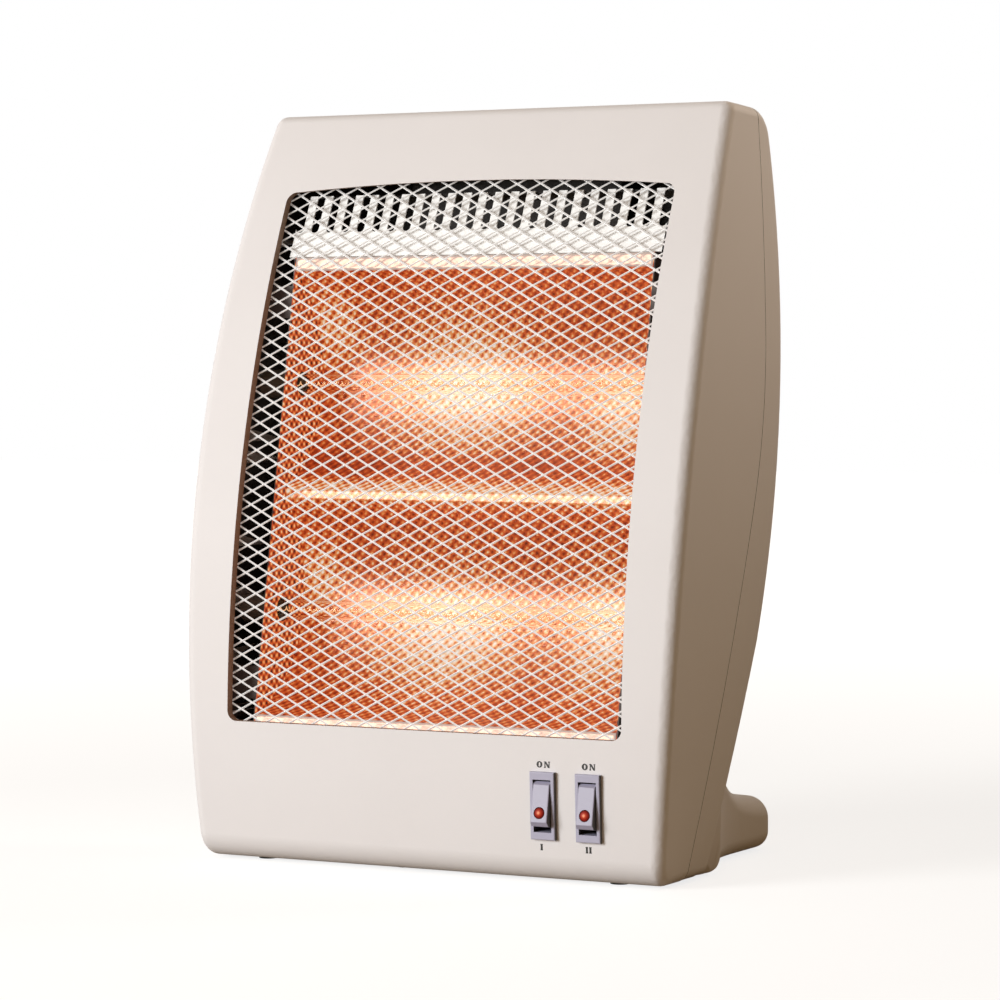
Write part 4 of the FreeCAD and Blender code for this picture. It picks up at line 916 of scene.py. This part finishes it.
# The plates' own base is near black, painted shade. Only the inner face in front of the sheet gives off the
# painted glow.
painted_glow_end = new_finish(
    "painted_glow_end", streaks, (0.03, 0.02, 0.015), (0.05, 0.034, 0.026), 0.5, 0.65, 80, 0.01 * MM,
    Emission_Strength=0.92)
tree = painted_glow_end.node_tree
parts = tree.nodes.new("ShaderNodeSeparateXYZ")
tree.links.new(tree.nodes.new("ShaderNodeTexCoord").outputs["Object"], parts.inputs[0])
waves = [wave(tree, parts.outputs[axis], pitch) for axis, pitch in zip("YZ", DIMPLE_PITCH)]
peaks = add_math(tree, "MULTIPLY_ADD", add_math(tree, "MULTIPLY", *waves), 0.5, 0.5)
rise = reach_along(tree, parts, on_rim(0, 0), on_rim(0, 1))
depth = reach_along(tree, parts, on_rim(0, 0), on_rim(1, 0))
from_ridge = add_math(tree, "ABSOLUTE", add_math(tree, "MULTIPLY_ADD", rise, 2 / SHEET_RISE, -1), 0)
profile = [fold(half_arc * step / PROFILE_STEPS) for step in range(PROFILE_STEPS + 1)]
stops = [(2 * up / SHEET_RISE, (back / DEPTH_UNIT,) * 3) for back, up, _ in profile]
sheet = add_ramp(tree, add_math(tree, "SUBTRACT", 1, from_ridge), stops)
before = add_math(tree, "LESS_THAN", depth, add_math(tree, "MULTIPLY_ADD", sheet, DEPTH_UNIT, END_SKIN))
inner = add_math(tree, "LESS_THAN", add_math(tree, "ABSOLUTE", parts.outputs["X"], 0), end_low.x + END_SKIN)
painted_glow_face = add_math(tree, "MULTIPLY", inner, before)
painted_glow_level = add_math(tree, "MULTIPLY", speckled(tree, END_PAINTED_GLOW, peaks), painted_glow_face)
glow_with(painted_glow_end, add_ramp(tree, painted_glow_level, [(0.0, END_PAINTED_SHADE)] + PAINTED_GLOW_COLOURS[1:]))
for side in ("left", "right"):
    paint(f"reflector_end_{side}", painted_glow_end)

# %% [markdown]
# ## Vent plate
#
# The slotted plate above the reflector leans back and ends in a flange. Its front is bright, but the flange
# and the edges of the slots behind the front disappear in the dark. The finish measures the depth behind
# the leaning front and paints shade, nearly black, below a sheet's thickness.

# %% Vent plate
VENT_LEAN = math.radians(24)
VENT_SKIN = 0.9 * MM
VENT_PAINTED_SHADE = (0.012, 0.010, 0.009, 1)

vent_low, vent_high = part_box("vent_plate")
inwards = Vector((0, math.cos(VENT_LEAN), -math.sin(VENT_LEAN)))
bright_sheet = new_finish(
    "bright_sheet", streaks, (0.90, 0.90, 0.90), (0.98, 0.98, 0.98), 0.30, 0.48, 60, 0.02 * MM)
tree = bright_sheet.node_tree
depth = tree.nodes.new("ShaderNodeVectorMath")
depth.operation = "DOT_PRODUCT"
tree.links.new(tree.nodes.new("ShaderNodeTexCoord").outputs["Object"], depth.inputs[0])
depth.inputs[1].default_value = inwards
# Deeper than a sheet's thickness behind the front, the colour is painted shade.
behind = add_math(tree, "GREATER_THAN", depth.outputs["Value"], inwards.dot(vent_low) + VENT_SKIN)
front_tone = next(node for node in tree.nodes if node.type == "GROUP").outputs["Colour"]
painted_shade_tone = tree.nodes.new("ShaderNodeRGB").outputs[0]
painted_shade_tone.default_value = VENT_PAINTED_SHADE
tone = colour_between(tree, behind, front_tone, painted_shade_tone)
tree.links.new(tone, tree.nodes["Principled BSDF"].inputs["Base Color"])
print("vent plate", round(vent_high.x - vent_low.x, 4), "m wide")

# %% [markdown]
# ## Heating coils
#
# A coil of thin wire runs the length of each quartz tube and glows. A screw modifier would do, but spin
# with a step along its axis makes the same helix as plain mesh. The section has six sides, because the
# whole coil is only a few millimetres thick.

# %% Heating coils
COIL_WIRE = 0.32 * MM
COIL_PITCH = 3.4 * MM
COIL_STEPS = 12
WIRE_SIDES = 6

coil_wire = new_finish(
    "coil_wire", grain, (0.30, 0.12, 0.05), (0.45, 0.20, 0.09), 0.35, 0.5, 900, 0.01 * MM, Metallic=1.0,
    Emission_Color=(0.95, 0.56, 0.28, 1), Emission_Strength=0.75)
for level in ("lower", "upper"):
    low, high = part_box(f"{level}_coil")
    radius = (high.z - low.z) / 2 - COIL_WIRE
    middle = (low + high) / 2
    turns = math.floor((high.x - low.x - 2 * COIL_WIRE) / COIL_PITCH)
    bm = bmesh.new()
    start = Vector((middle.x - turns * COIL_PITCH / 2, middle.y, middle.z + radius))
    bmesh.ops.create_circle(
        bm, cap_ends=False, segments=WIRE_SIDES, radius=COIL_WIRE,
        matrix=Matrix.Translation(start) @ Matrix.Rotation(math.radians(90), 4, "X"))
    bmesh.ops.spin(
        bm, geom=bm.verts[:] + bm.edges[:], cent=middle, axis=(1, 0, 0), dvec=(COIL_PITCH / COIL_STEPS, 0, 0),
        angle=2 * math.pi * turns, steps=turns * COIL_STEPS)
    bmesh.ops.holes_fill(bm, edges=[edge for edge in bm.edges if edge.is_boundary])
    bmesh.ops.recalc_face_normals(bm, faces=bm.faces)
    smooth_all(bm)
    add_piece(f"{level}_coil_wire", bm, coil_wire, stands_for=[f"{level}_coil"])

# %% [markdown]
# ## Rocker switches
#
# Each switch is a bezel, a rocker that is pressed in at the top, and a round red lens lit from behind. The
# bezel and the rocker are smooth copies, with flanks in dark grey painted shade beside their lilac fronts.
# The lens is a small dome with an attribute for its distance from the middle, so the finish can be bright
# orange there and deep red at the edge.

# %% Rocker switches
LENS_ROUNDS = (24, 12)
LENS_RISE = 1.3 * MM
LENS_COLOURS = [
    (0.30, (0.02, 0.001, 0.001)), (0.75, (0.20, 0.012, 0.006)), (0.94, (0.48, 0.05, 0.015)),
    (1.0, (1.0, 0.36, 0.15)),
]
FLANK_LEAN = 0.8
PANEL_LEAN = math.radians(2.68)
ROCKER_PRESS = math.radians(12)

lit_lens = new_finish(
    "lit_lens", grain, (0.07, 0.004, 0.003), (0.10, 0.006, 0.004), 0.30, 0.40, 300, 0.005 * MM,
    Specular_IOR_Level=0.15, Emission_Strength=0.9)
tree = lit_lens.node_tree
glow_with(lit_lens, add_ramp(tree, add_attribute(tree, "centre"), LENS_COLOURS))
upright = Matrix.Rotation(PANEL_LEAN - ROCKER_PRESS, 3, "X") @ Matrix.Rotation(math.radians(90), 3, "X")
for side in ("left", "right"):
    for node, finish in ((f"switch_housing_{side}", lilac_plastic), (f"rocker_{side}", pale_lilac)):
        moulding = smooth_copy(node, finish)
        # Flanks that face sideways get the dark grey painted shade.
        moulding.data.materials.append(flank_painted_shade)
        for face in moulding.data.polygons:
            face.material_index = abs(face.normal.x) > FLANK_LEAN
    low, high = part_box(f"lamp_lens_{side}")
    radius = (high.x - low.x) / 2
    bm = bmesh.new()
    bmesh.ops.create_uvsphere(bm, u_segments=LENS_ROUNDS[0], v_segments=LENS_ROUNDS[1], radius=1)
    centre = bm.verts.layers.float.new("centre")
    for vert in bm.verts:
        vert[centre] = max(vert.co.z, 0)
    bmesh.ops.scale(bm, verts=bm.verts, vec=(radius, radius, LENS_RISE))
    bmesh.ops.rotate(bm, verts=bm.verts, cent=(0, 0, 0), matrix=upright)
    bmesh.ops.translate(bm, verts=bm.verts, vec=(low + high) / 2)
    smooth_all(bm)
    add_piece(f"lamp_dome_{side}", bm, lit_lens, f"{side}_rocker", [f"lamp_lens_{side}"])

# %% [markdown]
# ## Lettering
#
# The switches are marked with small serif capitals and Roman numerals, printed in black. A text object
# would bring its own typeface. The few strokes are made here as bars and one ring, which gives the serifs,
# and then laid on the bow of the front as a thin film of ink.

# %% Strokes of the letters
CAP_HEIGHT = 3.0 * MM
STEM = 1.0 * MM
HAIRLINE = 0.46 * MM
SERIF = 1.25 * MM
INK = 0.06 * MM
RING_SEGMENTS = 40
THIN_SERIF_SHARE = 0.7
DIAGONAL_SHARE = 0.85


def bar(bm, x, z, width, height, turn=0):
    """A flat bar of ink about a middle point."""
    place = Matrix.Translation((x, 0, z)) @ Matrix.Rotation(turn, 4, "Y")
    place = place @ Matrix.Diagonal((width, INK, height, 1))
    bmesh.ops.create_cube(bm, size=1, matrix=place)


def numeral(bm, x, z):
    """A Roman one: a stem with a serif at each end."""
    bar(bm, x, z, STEM, CAP_HEIGHT)
    for end in (-1, 1):
        bar(bm, x, z + end * (CAP_HEIGHT - HAIRLINE) / 2, SERIF, HAIRLINE)


def letter_n(bm, x, z, width):
    """Two thin stems with serifs and a heavy diagonal."""
    half = width / 2
    serif = SERIF * THIN_SERIF_SHARE
    for end in (-1, 1):
        bar(bm, x + end * half, z, HAIRLINE, CAP_HEIGHT)
        bar(bm, x + end * half, z + (CAP_HEIGHT - HAIRLINE) / 2, serif, HAIRLINE)
    bar(bm, x - half, z - (CAP_HEIGHT - HAIRLINE) / 2, serif, HAIRLINE)
    length = math.hypot(width, CAP_HEIGHT) - STEM / 2
    bar(bm, x, z, STEM * DIAGONAL_SHARE, length, -math.atan2(width, CAP_HEIGHT))


def letter_o(bm, x, z, width):
    """A ring with heavy sides and thin top and bottom."""
    rings = []
    for across, up in ((width, CAP_HEIGHT), (width - 2 * STEM, CAP_HEIGHT - 2 * HAIRLINE)):
        shape = Matrix.Translation((x, -INK / 2, z)) @ Matrix.Rotation(math.radians(90), 4, "X")
        shape = shape @ Matrix.Diagonal((across / 2, up / 2, 1, 1))
        ring = bmesh.ops.create_circle(bm, cap_ends=False, segments=RING_SEGMENTS, radius=1, matrix=shape)
        rings += list({edge for vert in ring["verts"] for edge in vert.link_edges})
    made = bmesh.ops.bridge_loops(bm, edges=rings)
    bmesh.ops.solidify(bm, geom=made["faces"], thickness=INK)


print("capitals", CAP_HEIGHT, "m tall")

# %% Lettering
ON_HEIGHT = 55.5 * MM
NUMERAL_HEIGHT = 17.1 * MM
LETTER_SHIFT = 2.1 * MM
N_SHIFT_SHARE = 0.85
N_WIDTH_SHARE = 0.72
NUMERAL_SHIFT = 0.9 * MM

switch_x = {}
for side in ("left", "right"):
    low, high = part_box(f"switch_housing_{side}")
    switch_x[side] = (low.x + high.x) / 2
bm = bmesh.new()
for x in switch_x.values():
    letter_o(bm, x - LETTER_SHIFT, ON_HEIGHT, CAP_HEIGHT)
    letter_n(bm, x + LETTER_SHIFT * N_SHIFT_SHARE, ON_HEIGHT, CAP_HEIGHT * N_WIDTH_SHARE)
numeral(bm, switch_x["left"] - 2 * NUMERAL_SHIFT, NUMERAL_HEIGHT)
for end in (-2, 0):
    numeral(bm, switch_x["right"] + end * NUMERAL_SHIFT, NUMERAL_HEIGHT)
for vert in bm.verts:
    vert.co.y += FRONT_Y + bow(vert.co.z) - INK / 2
bmesh.ops.recalc_face_normals(bm, faces=bm.faces)
add_piece("switch_lettering", bm, legend_ink)

# %% [markdown]
# ## Other solids
#
# The remaining pieces already have their real shape as solids. They only get a finish, so their own
# material slots are filled.

# %% Finishes of the other solids
OTHER_FINISHES = {
    "vent_plate": bright_sheet,
    "right_tube_clips": zinc_steel,
    "left_tube_clips": zinc_steel,
    "tip_over_switch": dark_plastic,
    "tip_over_plunger": dark_plastic,
    "terminal_block": white_plastic,
    "thermal_cutout": dark_plastic,
    "front_pads": pad_rubber,
    "rear_pads": pad_rubber,
    "cover_screws": zinc_steel,
    "reflector_screws": zinc_steel,
    "switch_blades_left": brass_strip,
    "switch_blades_right": brass_strip,
}
for node, finish in OTHER_FINISHES.items():
    paint(node, finish)
print("painted", len(OTHER_FINISHES), "solids")
